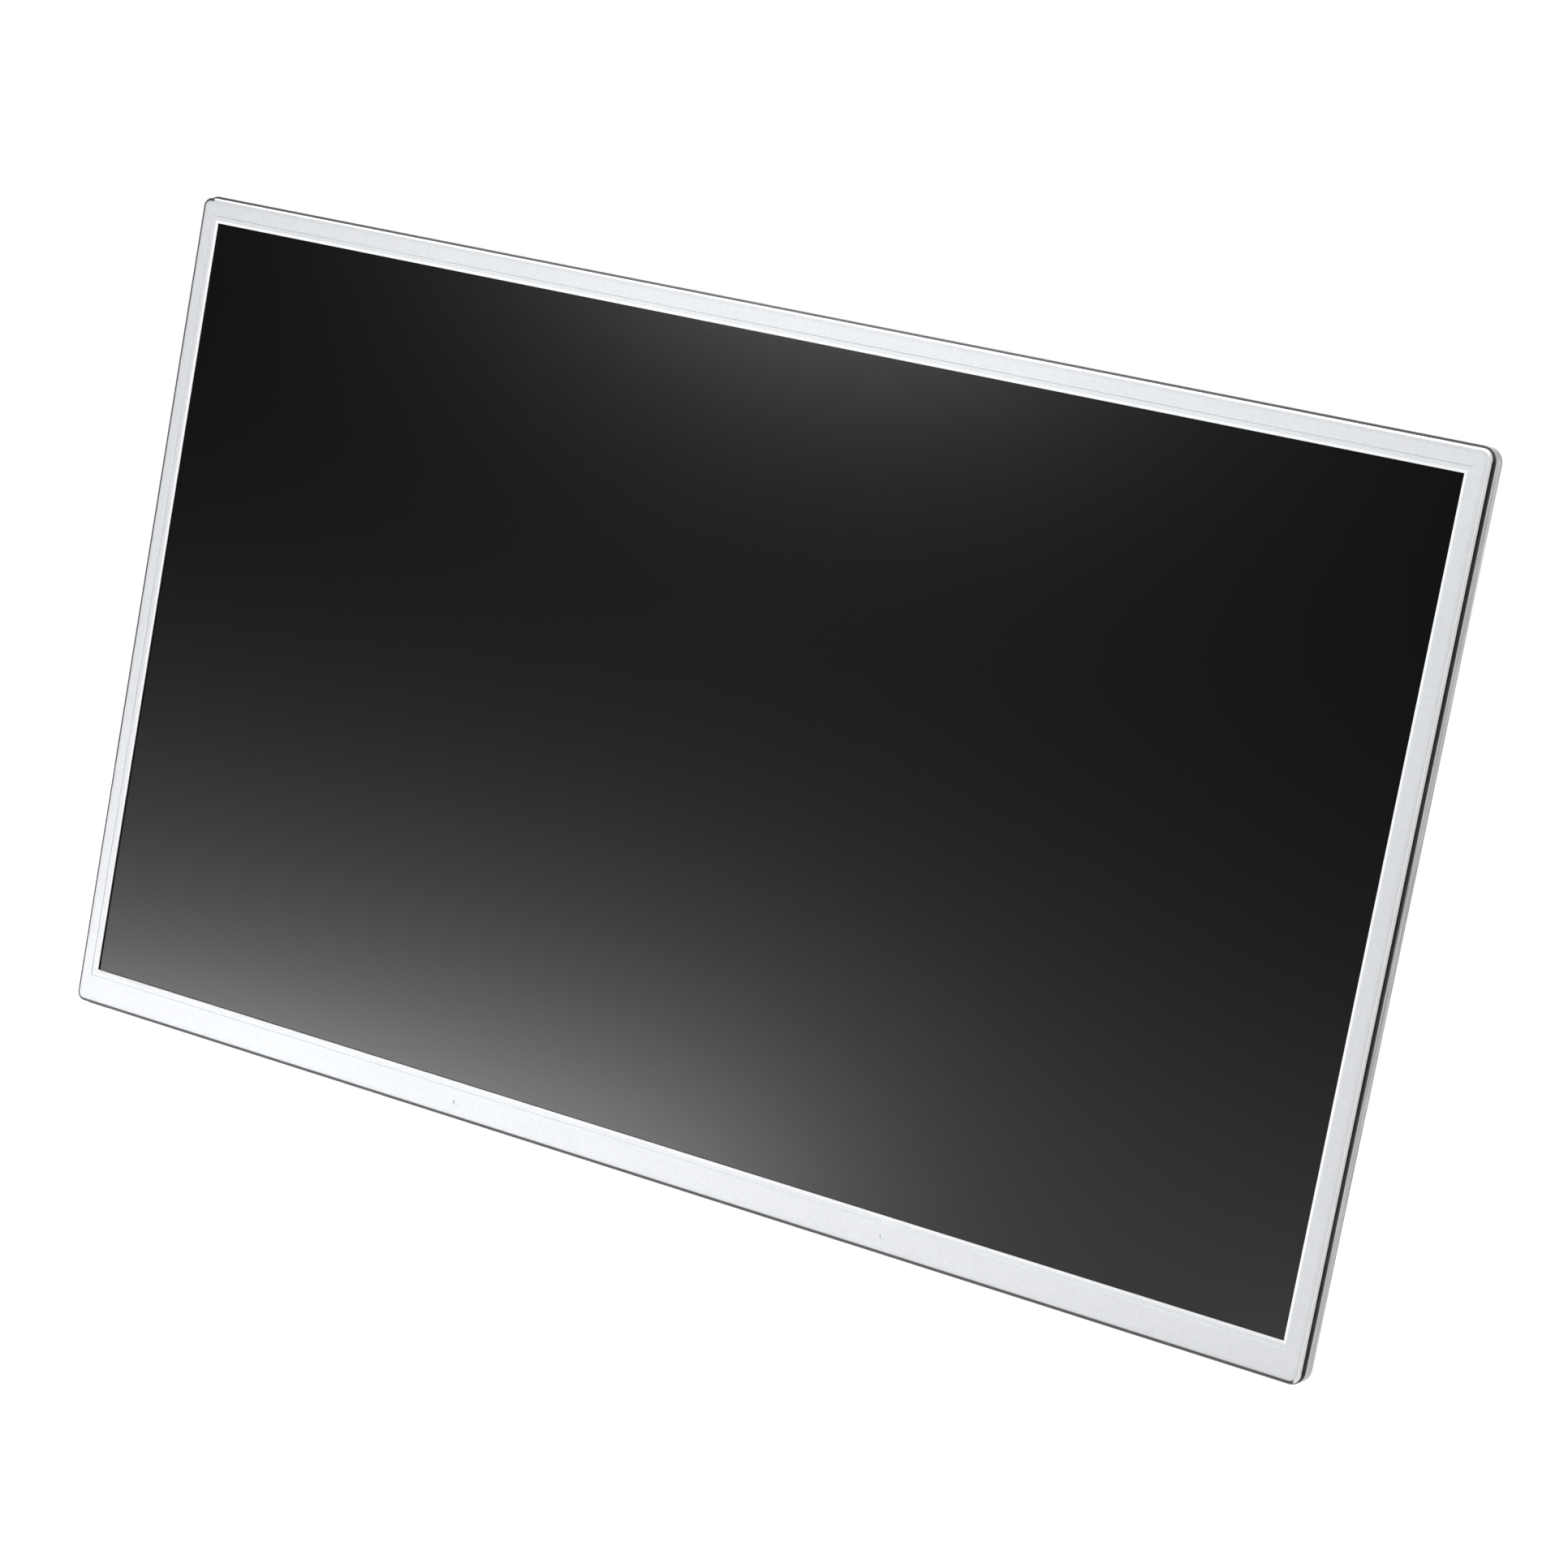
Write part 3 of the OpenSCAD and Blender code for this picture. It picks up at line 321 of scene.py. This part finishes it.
def board(name):
    """Printed board: solder mask with raised tracks, planes and tinned vias."""
    look = Look(name, rough=0.3)
    look.set("Coat Weight", 0.4)
    look.set("Coat Roughness", 0.15)
    plane = look.ramp(look.noise(0.07, detail=1.0), (0.50, 0.0), (0.505, 1.0))
    region = look.ramp(look.cells(0.11), (0.49, 0.0), (0.51, 1.0))
    lines = look.mix(region, look.bands("X", 0.9), look.bands("Z", 0.9))
    tracks = look.ramp(lines, (0.55, 0.0), (0.62, 1.0))
    copper = look.math("MAXIMUM", plane, tracks)
    dots = look.cells(0.38, output="Distance")
    via = look.ramp(dots, (0.10, 1.0), (0.13, 0.0))
    chosen = look.ramp(look.cells(0.38), (0.55, 0.0), (0.56, 1.0))
    via = look.math("MULTIPLY", via, chosen)
    mask = look.mix(copper, (0.004, 0.055, 0.026), (0.018, 0.17, 0.08))
    look.colour(look.mix(via, mask, (0.62, 0.60, 0.54)))
    look.bump(copper, 0.5, 0.035)
    return look.mat


def chip_body(name):
    """Black moulded chip resin."""
    look = Look(name, rough=0.5, specular=0.4)
    grain = look.noise(6.0, detail=3.0)
    look.colour(look.ramp(grain, (0.3, 0.012), (0.7, 0.024)))
    look.bump(grain, 0.35, 0.02)
    return look.mat


def prism_film():
    """Clear film with fine prisms across it."""
    look = Look("prism_film", rough=0.16, specular=0.6)
    prisms = look.bands("Z", 0.2, "TRI")
    look.colour(look.ramp(prisms, (0.0, (0.62, 0.67, 0.70)), (1.0, (0.80, 0.84, 0.87))))
    look.bump(prisms, 0.6, 0.05)
    return look.mat


LOOKS = {
    "bezel": bezel_sheet(),
    "chassis": chassis_sheet(),
    "shield": drawn_metal("shield_tin", (0.53, 0.535, 0.54), (0.41, 0.415, 0.42), 0.3),
    "nut": drawn_metal("nut_zinc", (0.66, 0.61, 0.50), (0.46, 0.42, 0.33), 0.34, along=(8, 1, 8)),
    "screw": drawn_metal("screw_nickel", (0.74, 0.73, 0.71), (0.52, 0.51, 0.50), 0.26, along=(6, 1, 6)),
    "bracket": drawn_metal("bracket_alu", (0.74, 0.75, 0.76), (0.60, 0.61, 0.62), 0.38),
    "plate": drawn_metal("socket_tin", (0.70, 0.70, 0.70), (0.52, 0.52, 0.52), 0.3),
    "gold": drawn_metal("contact_gold", (0.83, 0.60, 0.24), (0.62, 0.42, 0.14), 0.28),
    "solder": drawn_metal("solder_joint", (0.66, 0.66, 0.66), (0.46, 0.46, 0.47), 0.36),
    "screen": screen_film(),
    "glass": film("cell_glass", (0.10, 0.115, 0.12), (0.06, 0.07, 0.075), 0.1, specular=0.5),
    "acrylic": film("light_acrylic", (0.80, 0.87, 0.90), (0.70, 0.79, 0.84), 0.12, specular=0.5),
    "guide": moulded("guide_black", (0.040, 0.040, 0.042), (0.024, 0.024, 0.025), 0.42),
    "white_film": film("white_film", (0.90, 0.90, 0.88), (0.82, 0.82, 0.80), 0.5),
    "prism": prism_film(),
    "foam": moulded("black_foam", (0.035, 0.035, 0.036), (0.014, 0.014, 0.015), 0.8, 0.15, 0.6),
    "rubber": moulded("grey_rubber", (0.30, 0.32, 0.34), (0.22, 0.24, 0.26), 0.6, 0.2, 0.3),
    "lamp": moulded("lamp_resin", (0.92, 0.80, 0.34), (0.86, 0.70, 0.22), 0.25, 0.3, 0.1),
    "strip": moulded("strip_mask", (0.84, 0.85, 0.84), (0.74, 0.75, 0.74), 0.35, 0.4, 0.15),
    "amber": circuit_film("driver_film", (0.20, 0.075, 0.012), (0.40, 0.19, 0.05), 0.35, "X"),
    "tail": circuit_film("tail_film", (0.24, 0.10, 0.015), (0.46, 0.23, 0.06), 1.4, "Z"),
    "insulator": film("insulator_film", (0.020, 0.020, 0.022), (0.012, 0.012, 0.014), 0.3),
    "board": board("board_mask"),
    "socket": moulded("socket_ivory", (0.78, 0.74, 0.62), (0.68, 0.63, 0.51), 0.42),
    "latch": moulded("latch_brown", (0.050, 0.036, 0.026), (0.028, 0.020, 0.015), 0.45),
    "flex": circuit_film("link_flex", (0.70, 0.72, 0.74), (0.50, 0.52, 0.54), 1.0, "X"),
    "chip": chip_body("chip_resin"),
    "ceramic": moulded("ceramic_tan", (0.42, 0.29, 0.19), (0.30, 0.20, 0.13), 0.4, 0.2, 0.2),
    "resistor": moulded("resistor_black", (0.03, 0.03, 0.034), (0.016, 0.016, 0.018), 0.35, 0.2, 0.2),
    "coil": moulded("coil_ferrite", (0.085, 0.085, 0.09), (0.05, 0.05, 0.052), 0.6, 0.2, 0.4),
}
NODE_LOOKS = {
    "front_bezel": "bezel", "bezel_tape": "foam", "bezel_gasket": "foam", "front_polarizer": "screen",
    "color_filter_glass": "glass", "tft_glass": "glass", "rear_polarizer": "screen",
    "cell_tape": "foam", "guide_panel": "guide", "upper_diffuser": "white_film",
    "prism_sheet": "prism", "lower_diffuser": "white_film", "light_guide": "acrylic",
    "reflector_sheet": "white_film", "light_guide_bumpers": "rubber", "led_packages": "lamp",
    "led_strip": "strip", "thermal_tape": "rubber", "led_bracket": "bracket",
    "backlight_flex": "tail", "back_chassis": "chassis", "mount_nuts": "nut",
    "driver_films": "amber", "driver_chips": "chip", "board_insulators": "insulator",
    "source_board": "board", "control_board": "board", "board_sockets": "socket",
    "link_flexes": "flex", "control_chips": "chip", "power_coils": "coil",
    "signal_connector": "plate", "power_connector": "socket", "control_shield": "shield",
    "chassis_screws": "screw", "board_screws": "screw", "shield_screws": "screw",
}
for node_name, key in NODE_LOOKS.items():
    for material_slot in nodes[node_name].material_slots:
        material_slot.material = LOOKS[key]


def piece(name, bm, look, replaced=()):
    """A mesh piece of the object, riding on the one body."""
    mesh = bpy.data.meshes.new(name)
    bmesh.ops.recalc_face_normals(bm, faces=bm.faces)
    bm.to_mesh(mesh)
    bm.free()
    mesh.materials.append(LOOKS[look])
    thing = bpy.data.objects.new(name, mesh)
    bpy.context.scene.collection.objects.link(thing)
    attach(thing, "root")
    if replaced:
        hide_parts(*replaced)
    return thing


def smooth(thing, angle):
    """Smooth shading, with sharp edges kept above an angle in degrees."""
    bm = bmesh.new()
    bm.from_mesh(thing.data)
    for face in bm.faces:
        face.smooth = True
    for edge in bm.edges:
        if len(edge.link_faces) == 2 and edge.calc_face_angle(0) > math.radians(angle):
            edge.smooth = False
    bm.to_mesh(thing.data)
    bm.free()


def rounded_box(bm, centre, size, bevel):
    """A box with bevelled edges."""
    place = Matrix.Translation(centre) @ Matrix.Diagonal((*size, 1))
    made = bmesh.ops.create_cube(bm, size=1.0, matrix=place)
    edges = {e for v in made["verts"] for e in v.link_edges}
    bmesh.ops.bevel(bm, geom=list(edges), offset=bevel, segments=2, profile=0.6, affect="EDGES")


def turned(bm, rings, place=Matrix(), steps=40):
    """Rings of (radius, y) round the Y axis, joined one to the next; a radius may change with the angle."""
    made = []
    for radius, y in rings:
        if radius == 0:
            made.append([bm.verts.new(place @ Vector((0, y, 0)))])
            continue
        ring = []
        for k in range(steps):
            angle = 2 * math.pi * k / steps
            r = radius(angle) if callable(radius) else radius
            ring.append(bm.verts.new(place @ Vector((r * math.cos(angle), y, r * math.sin(angle)))))
        made.append(ring)
    for one, two in zip(made, made[1:]):
        for k in range(steps):
            n = (k + 1) % steps
            ring = [one[k % len(one)], one[n % len(one)], two[n % len(two)], two[k % len(two)]]
            bm.faces.new(list(dict.fromkeys(ring)))


def screw_form(head_r, head_h, shank_r, length):
    """A pan head on a plain shank; the seat is at 0 and the head points to +Y."""
    bm = bmesh.new()
    profile = [(0, head_h), (0.45 * head_r, 0.985 * head_h), (0.72 * head_r, 0.88 * head_h)]
    profile += [(head_r * (0.86 + 0.14 * math.sin(a)), head_h * (0.35 + 0.38 * math.cos(a)))
                for a in (0.35, 0.8, 1.25, math.pi / 2)]
    profile += [(head_r, 0.08 * head_h), (head_r * 0.97, 0), (shank_r, 0), (shank_r, -length), (0, -length)]
    turned(bm, profile, steps=48)
    bmesh.ops.recalc_face_normals(bm, faces=bm.faces)
    return bm


def cross_cutter(head_r, head_h, depth):
    """A tapered four-winged tool for the cross recess."""
    bm = bmesh.new()
    top, bottom = head_h * 1.3, head_h - depth
    for turn in (0, math.pi / 2):
        wide, narrow = 0.62 * head_r, 0.26 * head_r
        thick, thin = 0.17 * head_r, 0.11 * head_r
        corners = []
        for y, w, t in ((top, wide, thick), (bottom, narrow, thin)):
            for sx, sz in ((-1, -1), (1, -1), (1, 1), (-1, 1)):
                x, z = sx * w, sz * t
                corners.append(bm.verts.new((
                    x * math.cos(turn) - z * math.sin(turn), y, x * math.sin(turn) + z * math.cos(turn)
                )))
        for quad in ((0, 1, 2, 3), (7, 6, 5, 4), (0, 4, 5, 1), (1, 5, 6, 2), (2, 6, 7, 3), (3, 7, 4, 0)):
            bm.faces.new([corners[i] for i in quad])
    bmesh.ops.recalc_face_normals(bm, faces=bm.faces)
    return bm


def cut(body, tool):
    """The first bmesh with the second taken away."""
    things = []
    for bm in (body, tool):
        mesh = bpy.data.meshes.new("cut_source")
        bm.to_mesh(mesh)
        bm.free()
        thing = bpy.data.objects.new("cut_source", mesh)
        bpy.context.scene.collection.objects.link(thing)
        things.append(thing)
    modifier = things[0].modifiers.new("cut", "BOOLEAN")
    modifier.operation = "DIFFERENCE"
    modifier.solver = "EXACT"
    modifier.use_self = True
    modifier.object = things[1]
    bpy.context.view_layer.update()
    made = things[0].evaluated_get(bpy.context.evaluated_depsgraph_get()).to_mesh()
    bm = bmesh.new()
    bm.from_mesh(made)
    for thing in things:
        mesh = thing.data
        bpy.data.objects.remove(thing)
        bpy.data.meshes.remove(mesh)
    return bm


def islands(node_name):
    """The boxes of a node's separate solids, in metres."""
    bm = bmesh.new()
    bm.from_mesh(nodes[node_name].data)
    bmesh.ops.remove_doubles(bm, verts=bm.verts, dist=1e-6)
    seen, boxes = set(), []
    for start in bm.verts:
        if start in seen:
            continue
        seen.add(start)
        pile, found = [start], [start]
        while pile:
            for edge in pile.pop().link_edges:
                for vert in edge.verts:
                    if vert not in seen:
                        seen.add(vert)
                        pile.append(vert)
                        found.append(vert)
        low = Vector([min(v.co[i] for v in found) for i in range(3)])
        high = Vector([max(v.co[i] for v in found) for i in range(3)])
        boxes.append((low, high))
    bm.free()
    return sorted(boxes, key=lambda b: (round(b[0].x, 5), round(b[0].z, 5)))


def screws(node_name, head_r_mm, head_h_mm, shank_r_mm):
    """Screws with cross recesses in place of a node's plain ones."""
    boxes = islands(node_name)
    head_r, head_h = head_r_mm * MM, head_h_mm * MM
    depth = boxes[0][1].y - boxes[0][0].y
    form = screw_form(head_r, head_h, shank_r_mm * MM, depth - head_h)
    form = cut(form, cross_cutter(head_r, head_h, 0.8 * head_h))
    template = bpy.data.meshes.new("screw_form")
    form.to_mesh(template)
    form.free()
    whole = bmesh.new()
    for low, high in boxes:
        turn = Matrix.Rotation(rng.uniform(0, math.pi), 4, "Y")
        centre = (low + high) / 2
        place = Matrix.Translation((centre.x, high.y - head_h, centre.z)) @ turn
        mesh = template.copy()
        mesh.transform(place)
        whole.from_mesh(mesh)
        bpy.data.meshes.remove(mesh)
    bpy.data.meshes.remove(template)
    smooth(piece(node_name + "_cross", whole, "screw", [node_name]), 40)


def threaded_nuts():
    """The clinch nuts with a metric thread cut into the bore."""
    core, groove, pitch, deep, rows, run_out = NUT_CORE_R, 0.22 * MM, 0.5 * MM, 1.6 * MM, 32, 5
    lead_in, mouth, head_edge, back_edge = 0.06 * MM, 0.28 * MM, 0.2 * MM, 0.1 * MM
    bm = bmesh.new()
    for low, high in islands("mount_nuts"):
        centre = (low + high) / 2
        head, back = low.y - high.y, NUT_HEAD_H + low.y - high.y
        outer, wall = (high.x - low.x) / 2, NUT_R
        rings = [(0, head), (outer - head_edge, head), (outer, head + head_edge),
                 (outer, back - back_edge), (outer - back_edge, back), (wall, back),
                 (wall, -lead_in), (wall - lead_in, 0), (core + mouth, 0)]
        for row in range(rows + 1):
            y = -lead_in - (deep - 2 * lead_in) * row / rows
            fade = min(1.0, (rows - row) / run_out)

            def radius(angle, y=y, fade=fade):
                phase = (y / pitch + angle / (2 * math.pi)) % 1.0
                return core + groove * fade * (1 - abs(2 * phase - 1))

            rings.append((radius, y))
        rings += [(core, -deep), (0, -deep)]
        turned(bm, rings, Matrix.Translation((centre.x, high.y, centre.z)))
    smooth(piece("mount_nuts_thread", bm, "nut", ["mount_nuts"]), 35)


def blocks(name, boxes, look, bevel_mm=0.06):
    """Many small bevelled boxes, given in millimetres as low and high corners, in one piece."""
    bm = bmesh.new()
    for low, high in boxes:
        low, high = Vector(low) * MM, Vector(high) * MM
        rounded_box(bm, (low + high) / 2, high - low, bevel_mm * MM)
    smooth(piece(name, bm, look), 50)


def surface_parts():
    """Capacitors, resistors and test pads on both boards, kept clear of what stands there."""
    part_l, part_w, end_l, room, pitch = 1.6, 0.8, 0.36, 1.9, 3
    capacitor_h, resistor_h, end_proud, body_share = 0.8, 0.45, 0.02, 0.94
    pad_r, pad_h, pad_edge = 0.5 * MM, 0.04 * MM, 0.03 * MM
    source_rows = [SOURCE_LOW / MM + up for up in (4.6, 8.4, 12)]
    control_rows = [CONTROL_LOW / MM + 4 + 3.6 * step for step in range(12)]
    taken = []
    for name in ("control_chips", "power_coils", "board_sockets", "board_screws", "link_flexes",
                 "signal_connector", "power_connector", "driver_films"):
        taken += [(low / MM, high / MM) for low, high in islands(name)]

    def clear(x, z):
        return all(x + room < low.x or x - room > high.x or z + room < low.z or z - room > high.z
                   for low, high in taken)

    spots = []
    for x in range(-218, 219, pitch):
        near = min(abs(x - driver_x) for driver_x in DRIVER_XS) < 16
        spots += [(x, z, 0.55 if near else 0.16) for z in source_rows]
    for x in range(-60, 61, pitch):
        spots += [(x, z, 0.4) for z in control_rows]
    capacitors, resistors, ends, pads = [], [], [], []
    face = BOARD_FACE / MM
    for x, z, chance in spots:
        if rng.random() > chance or not clear(x, z):
            continue
        kind = rng.random()
        if kind > 0.9:
            pads.append((x, z))
            continue
        rows, high = (capacitors, capacitor_h) if kind < 0.5 else (resistors, resistor_h)
        upright = rng.random() < 0.4
        sx, sz = (part_w, part_l) if upright else (part_l, part_w)
        dx, dz = sx / 2 * body_share, sz / 2 * body_share
        rows.append(((x - dx, face, z - dz), (x + dx, face + high, z + dz)))
        ex, ez = (part_w, end_l) if upright else (end_l, part_w)
        for side in (-1, 1):
            reach = side * (part_l - end_l + 0.04) / 2
            cx, cz = (x, z + reach) if upright else (x + reach, z)
            ends.append(((cx - ex / 2, face, cz - ez / 2),
                         (cx + ex / 2, face + high + end_proud, cz + ez / 2)))
    blocks("chip_capacitors", capacitors, "ceramic")
    blocks("chip_resistors", resistors, "resistor")
    blocks("chip_ends", ends, "solder")
    bm = bmesh.new()
    rings = [(0, 0), (pad_r, 0), (pad_r, pad_edge), (0.9 * pad_r, pad_h), (0, pad_h)]
    for x, z in pads:
        turned(bm, rings, Matrix.Translation((x * MM, BOARD_FACE, z * MM)))
    smooth(piece("test_pads", bm, "gold"), 50)


def row_of(boxes, low, high, step, count):
    """Adds a row of equal boxes, each a step on from the one before."""
    for k in range(count):
        shift = Vector(step) * k
        boxes.append((Vector(low) + shift, Vector(high) + shift))


def contacts():
    """Solder tails, contacts inside the plug sockets, and the flip latches of the flex sockets."""
    face = BOARD_FACE / MM
    floor, back = face + PLUG_FLOOR / MM, PLUG_BACK / MM
    tail, tail_t, contact, contact_t, mouth = 0.2, 0.15, 0.18, 0.12, 0.4
    flex_tail, plug_tail = 0.9, 0.7
    latch_in, latch_w, latch_t, latch_end = 0.3, 1.6, 0.28, 0.9
    tails, inside, latches = [], [], []
    for low, high in islands("board_sockets"):
        low, high = low / MM, high / MM
        middle = (low + high) / 2
        if high.x - low.x > high.z - low.z:
            count = int(high.x - low.x) - 3
            first = middle.x - (count - 1) / 2
            opens_up = low.z < CONTROL_LOW / MM
            z0 = low.z - flex_tail if opens_up else high.z
            row_of(tails, (first - tail, face, z0), (first + tail, face + tail_t, z0 + flex_tail),
                   (1, 0, 0), count)
            z0 = high.z - latch_in - latch_w if opens_up else low.z + latch_in
            latches.append(((low.x + latch_end, high.y, z0),
                            (high.x - latch_end, high.y + latch_t, z0 + latch_w)))
        else:
            count = int(high.z - low.z) - 3
            first = middle.z - (count - 1) / 2
            row_of(tails, (low.x - flex_tail, face, first - tail), (low.x, face + tail_t, first + tail),
                   (0, 0, 1), count)
            latches.append(((high.x - latch_in - latch_w, high.y, low.z + latch_end),
                            (high.x - latch_in, high.y + latch_t, high.z - latch_end)))
    low, high = (v / MM for v in islands("signal_connector")[0])
    first, count = -15.5, 32
    row_of(tails, (first - tail, face, low.z - plug_tail), (first + tail, face + tail_t, low.z),
           (1, 0, 0), count)
    row_of(inside, (first - contact, floor, low.z + back),
           (first + contact, floor + contact_t, high.z - mouth), (1, 0, 0), count)
    low, high = (v / MM for v in islands("power_connector")[0])
    first, count = (low.z + high.z) / 2 - 3, 7
    row_of(tails, (high.x, face, first - tail), (high.x + plug_tail, face + tail_t, first + tail),
           (0, 0, 1), count)
    row_of(inside, (low.x + mouth, floor, first - contact),
           (high.x - back, floor + contact_t, first + contact), (0, 0, 1), count)
    blocks("solder_tails", tails, "solder", bevel_mm=0.03)
    blocks("plug_contacts", inside, "gold", bevel_mm=0.03)
    blocks("socket_latches", latches, "latch", bevel_mm=0.1)


screws("chassis_screws", 1.7, 0.7, 0.83)
screws("board_screws", 2.2, 0.9, 1.03)
screws("shield_screws", 2.2, 0.9, 1.03)
threaded_nuts()
surface_parts()
contacts()


def emission(tree, strength):
    node = tree.nodes.new("ShaderNodeEmission")
    node.inputs["Strength"].default_value = strength
    return node


def seen_directly(tree, kinds):
    """1 for the kinds of ray that show the background."""
    path = tree.nodes.new("ShaderNodeLightPath")
    total = path.outputs[kinds[0]]
    for kind in kinds[1:]:
        node = tree.nodes.new("ShaderNodeMath")
        node.operation = "MAXIMUM"
        tree.links.new(total, node.inputs[0])
        tree.links.new(path.outputs[kind], node.inputs[1])
        total = node.outputs[0]
    return total


BACKGROUND_RAYS = ("Is Camera Ray", "Is Glossy Ray", "Is Transmission Ray")
SHADOW_R = 1.3
FLOOR_Z = -0.62
AMBIENT = 0.28
ROOM = 0.028
BACK_WALL = 0.8


def floor_look():
    """White paper that shows the background's white, with a share of the real light near the object."""
    mat = bpy.data.materials.new("floor_paper")
    mat.use_nodes = True
    tree = mat.node_tree
    tree.nodes.clear()
    place = tree.nodes.new("ShaderNodeTexCoord")
    length = tree.nodes.new("ShaderNodeVectorMath")
    length.operation = "LENGTH"
    tree.links.new(place.outputs["Object"], length.inputs[0])
    near = tree.nodes.new("ShaderNodeMapRange")
    near.interpolation_type = "SMOOTHSTEP"
    near.inputs["From Min"].default_value = 0.5 * SHADOW_R
    near.inputs["From Max"].default_value = SHADOW_R
    near.inputs["To Min"].default_value = 0.4
    near.inputs["To Max"].default_value = 0
    tree.links.new(length.outputs["Value"], near.inputs["Value"])
    paper = tree.nodes.new("ShaderNodeBsdfDiffuse")
    paper.inputs["Color"].default_value = (0.8, 0.8, 0.8, 1)
    share = tree.nodes.new("ShaderNodeMixShader")
    tree.links.new(near.outputs[0], share.inputs[0])
    tree.links.new(emission(tree, 1.3).outputs[0], share.inputs[1])
    tree.links.new(paper.outputs[0], share.inputs[2])
    choose = tree.nodes.new("ShaderNodeMixShader")
    tree.links.new(seen_directly(tree, BACKGROUND_RAYS), choose.inputs[0])
    tree.links.new(paper.outputs[0], choose.inputs[1])
    tree.links.new(share.outputs[0], choose.inputs[2])
    out = tree.nodes.new("ShaderNodeOutputMaterial")
    tree.links.new(choose.outputs[0], out.inputs["Surface"])
    return mat


def flat_sheet(name, centre, along, across, mat):
    mesh = bpy.data.meshes.new(name)
    centre, along, across = Vector(centre), Vector(along), Vector(across)
    corners = [centre + a * along + b * across for a, b in ((-1, -1), (1, -1), (1, 1), (-1, 1))]
    mesh.from_pydata(corners, [], [(0, 1, 2, 3)])
    mesh.materials.append(mat)
    thing = bpy.data.objects.new(name, mesh)
    bpy.context.scene.collection.objects.link(thing)


flat_sheet("floor", (0, 0, FLOOR_Z), (3.0, 0, 0), (0, 3.0, 0), floor_look())


def studio_world():
    """A white backdrop behind and beside the object, and a dim room in front of it."""
    world = bpy.data.worlds.new("studio")
    bpy.context.scene.world = world
    world.use_nodes = True
    tree = world.node_tree
    tree.nodes.clear()
    place = tree.nodes.new("ShaderNodeTexCoord")
    split = tree.nodes.new("ShaderNodeSeparateXYZ")
    tree.links.new(place.outputs["Generated"], split.inputs[0])
    behind = tree.nodes.new("ShaderNodeValToRGB")
    stops = ((0.325, ROOM), (0.525, 1.0), (0.65, 1.0), (0.8, BACK_WALL))
    while len(behind.color_ramp.elements) < len(stops):
        behind.color_ramp.elements.new(0.5)
    for element, (at, level) in zip(behind.color_ramp.elements, stops):
        element.position = at
        element.color = (level, level, level, 1)
    half = tree.nodes.new("ShaderNodeMath")
    half.operation = "MULTIPLY_ADD"
    half.inputs[1].default_value = 0.5
    half.inputs[2].default_value = 0.5
    tree.links.new(split.outputs["Y"], half.inputs[0])
    tree.links.new(half.outputs[0], behind.inputs[0])
    room = tree.nodes.new("ShaderNodeBackground")
    room.inputs["Strength"].default_value = AMBIENT
    shown = tree.nodes.new("ShaderNodeBackground")
    tree.links.new(behind.outputs[0], shown.inputs["Strength"])
    white = tree.nodes.new("ShaderNodeBackground")
    for node in (room, shown, white):
        node.inputs["Color"].default_value = (1, 1, 1, 1)
    first = tree.nodes.new("ShaderNodeMixShader")
    tree.links.new(seen_directly(tree, ("Is Glossy Ray", "Is Transmission Ray")), first.inputs[0])
    tree.links.new(room.outputs[0], first.inputs[1])
    tree.links.new(shown.outputs[0], first.inputs[2])
    second = tree.nodes.new("ShaderNodeMixShader")
    tree.links.new(seen_directly(tree, ("Is Camera Ray",)), second.inputs[0])
    tree.links.new(first.outputs[0], second.inputs[1])
    tree.links.new(white.outputs[0], second.inputs[2])
    out = tree.nodes.new("ShaderNodeOutputWorld")
    tree.links.new(second.outputs[0], out.inputs["Surface"])


studio_world()


def softbox(name, place, aim, width, height, watts, spread=180):
    data = bpy.data.lights.new(name, "AREA")
    data.shape = "RECTANGLE"
    data.size, data.size_y = width, height
    data.energy = watts
    data.spread = math.radians(spread)
    lamp = bpy.data.objects.new(name, data)
    lamp.location = place
    lamp.rotation_mode = "QUATERNION"
    lamp.rotation_quaternion = (Vector(aim) - Vector(place)).to_track_quat("-Z", "Y")
    bpy.context.scene.collection.objects.link(lamp)


softbox("key", (0.4, -2.0, 1.6), (0, 0, 0), 1.2, 1.2, 20)
softbox("low_left", (-1.02, -1.02, -0.52), (-0.12, 0, -0.17), 0.85, 0.14, 0.6, spread=40)
softbox("low_right", (0.0, -1.25, -0.6), (0.1, 0, -0.1), 0.6, 0.1, 3.0)
softbox("high_left", (-0.70, -1.2, 0.28), (0, 0, 0.1), 0.18, 0.2, 3.0)
softbox("top", (-0.02, -0.38, 0.6), (0.0, 0, 0.14), 0.3, 0.2, 5.0)
softbox("back_key", (-0.7, 1.2, 1.9), (0, 0, 0), 0.8, 0.8, 24)
softbox("back_fill", (1.6, 1.6, 0.4), (0, 0, 0), 1.0, 1.0, 5)

PHOTO_PX = 1932  # the photograph's width
FOCAL_PX = 5391.9
SHIFT_PX = 200
SENSOR_MM = 36
camera_data = bpy.data.cameras.new("camera")
camera_data.sensor_width = SENSOR_MM
camera_data.lens = SENSOR_MM * FOCAL_PX / PHOTO_PX
camera_data.shift_y = SHIFT_PX / PHOTO_PX
camera = bpy.data.objects.new("camera", camera_data)
bpy.context.scene.collection.objects.link(camera)
forward = Vector((-0.48847, 0.85806, -0.15855)).normalized()
right = Vector((0.83993, 0.5116, 0.18105))
right = (right - right.dot(forward) * forward).normalized()
up = right.cross(forward)
turn = Matrix((right, up, -forward)).transposed()
camera.matrix_world = Matrix.Translation((0.7417, -1.244, 0.1711)) @ turn.to_4x4()
bpy.context.scene.camera = camera
bpy.context.scene.view_settings.view_transform = "Standard"
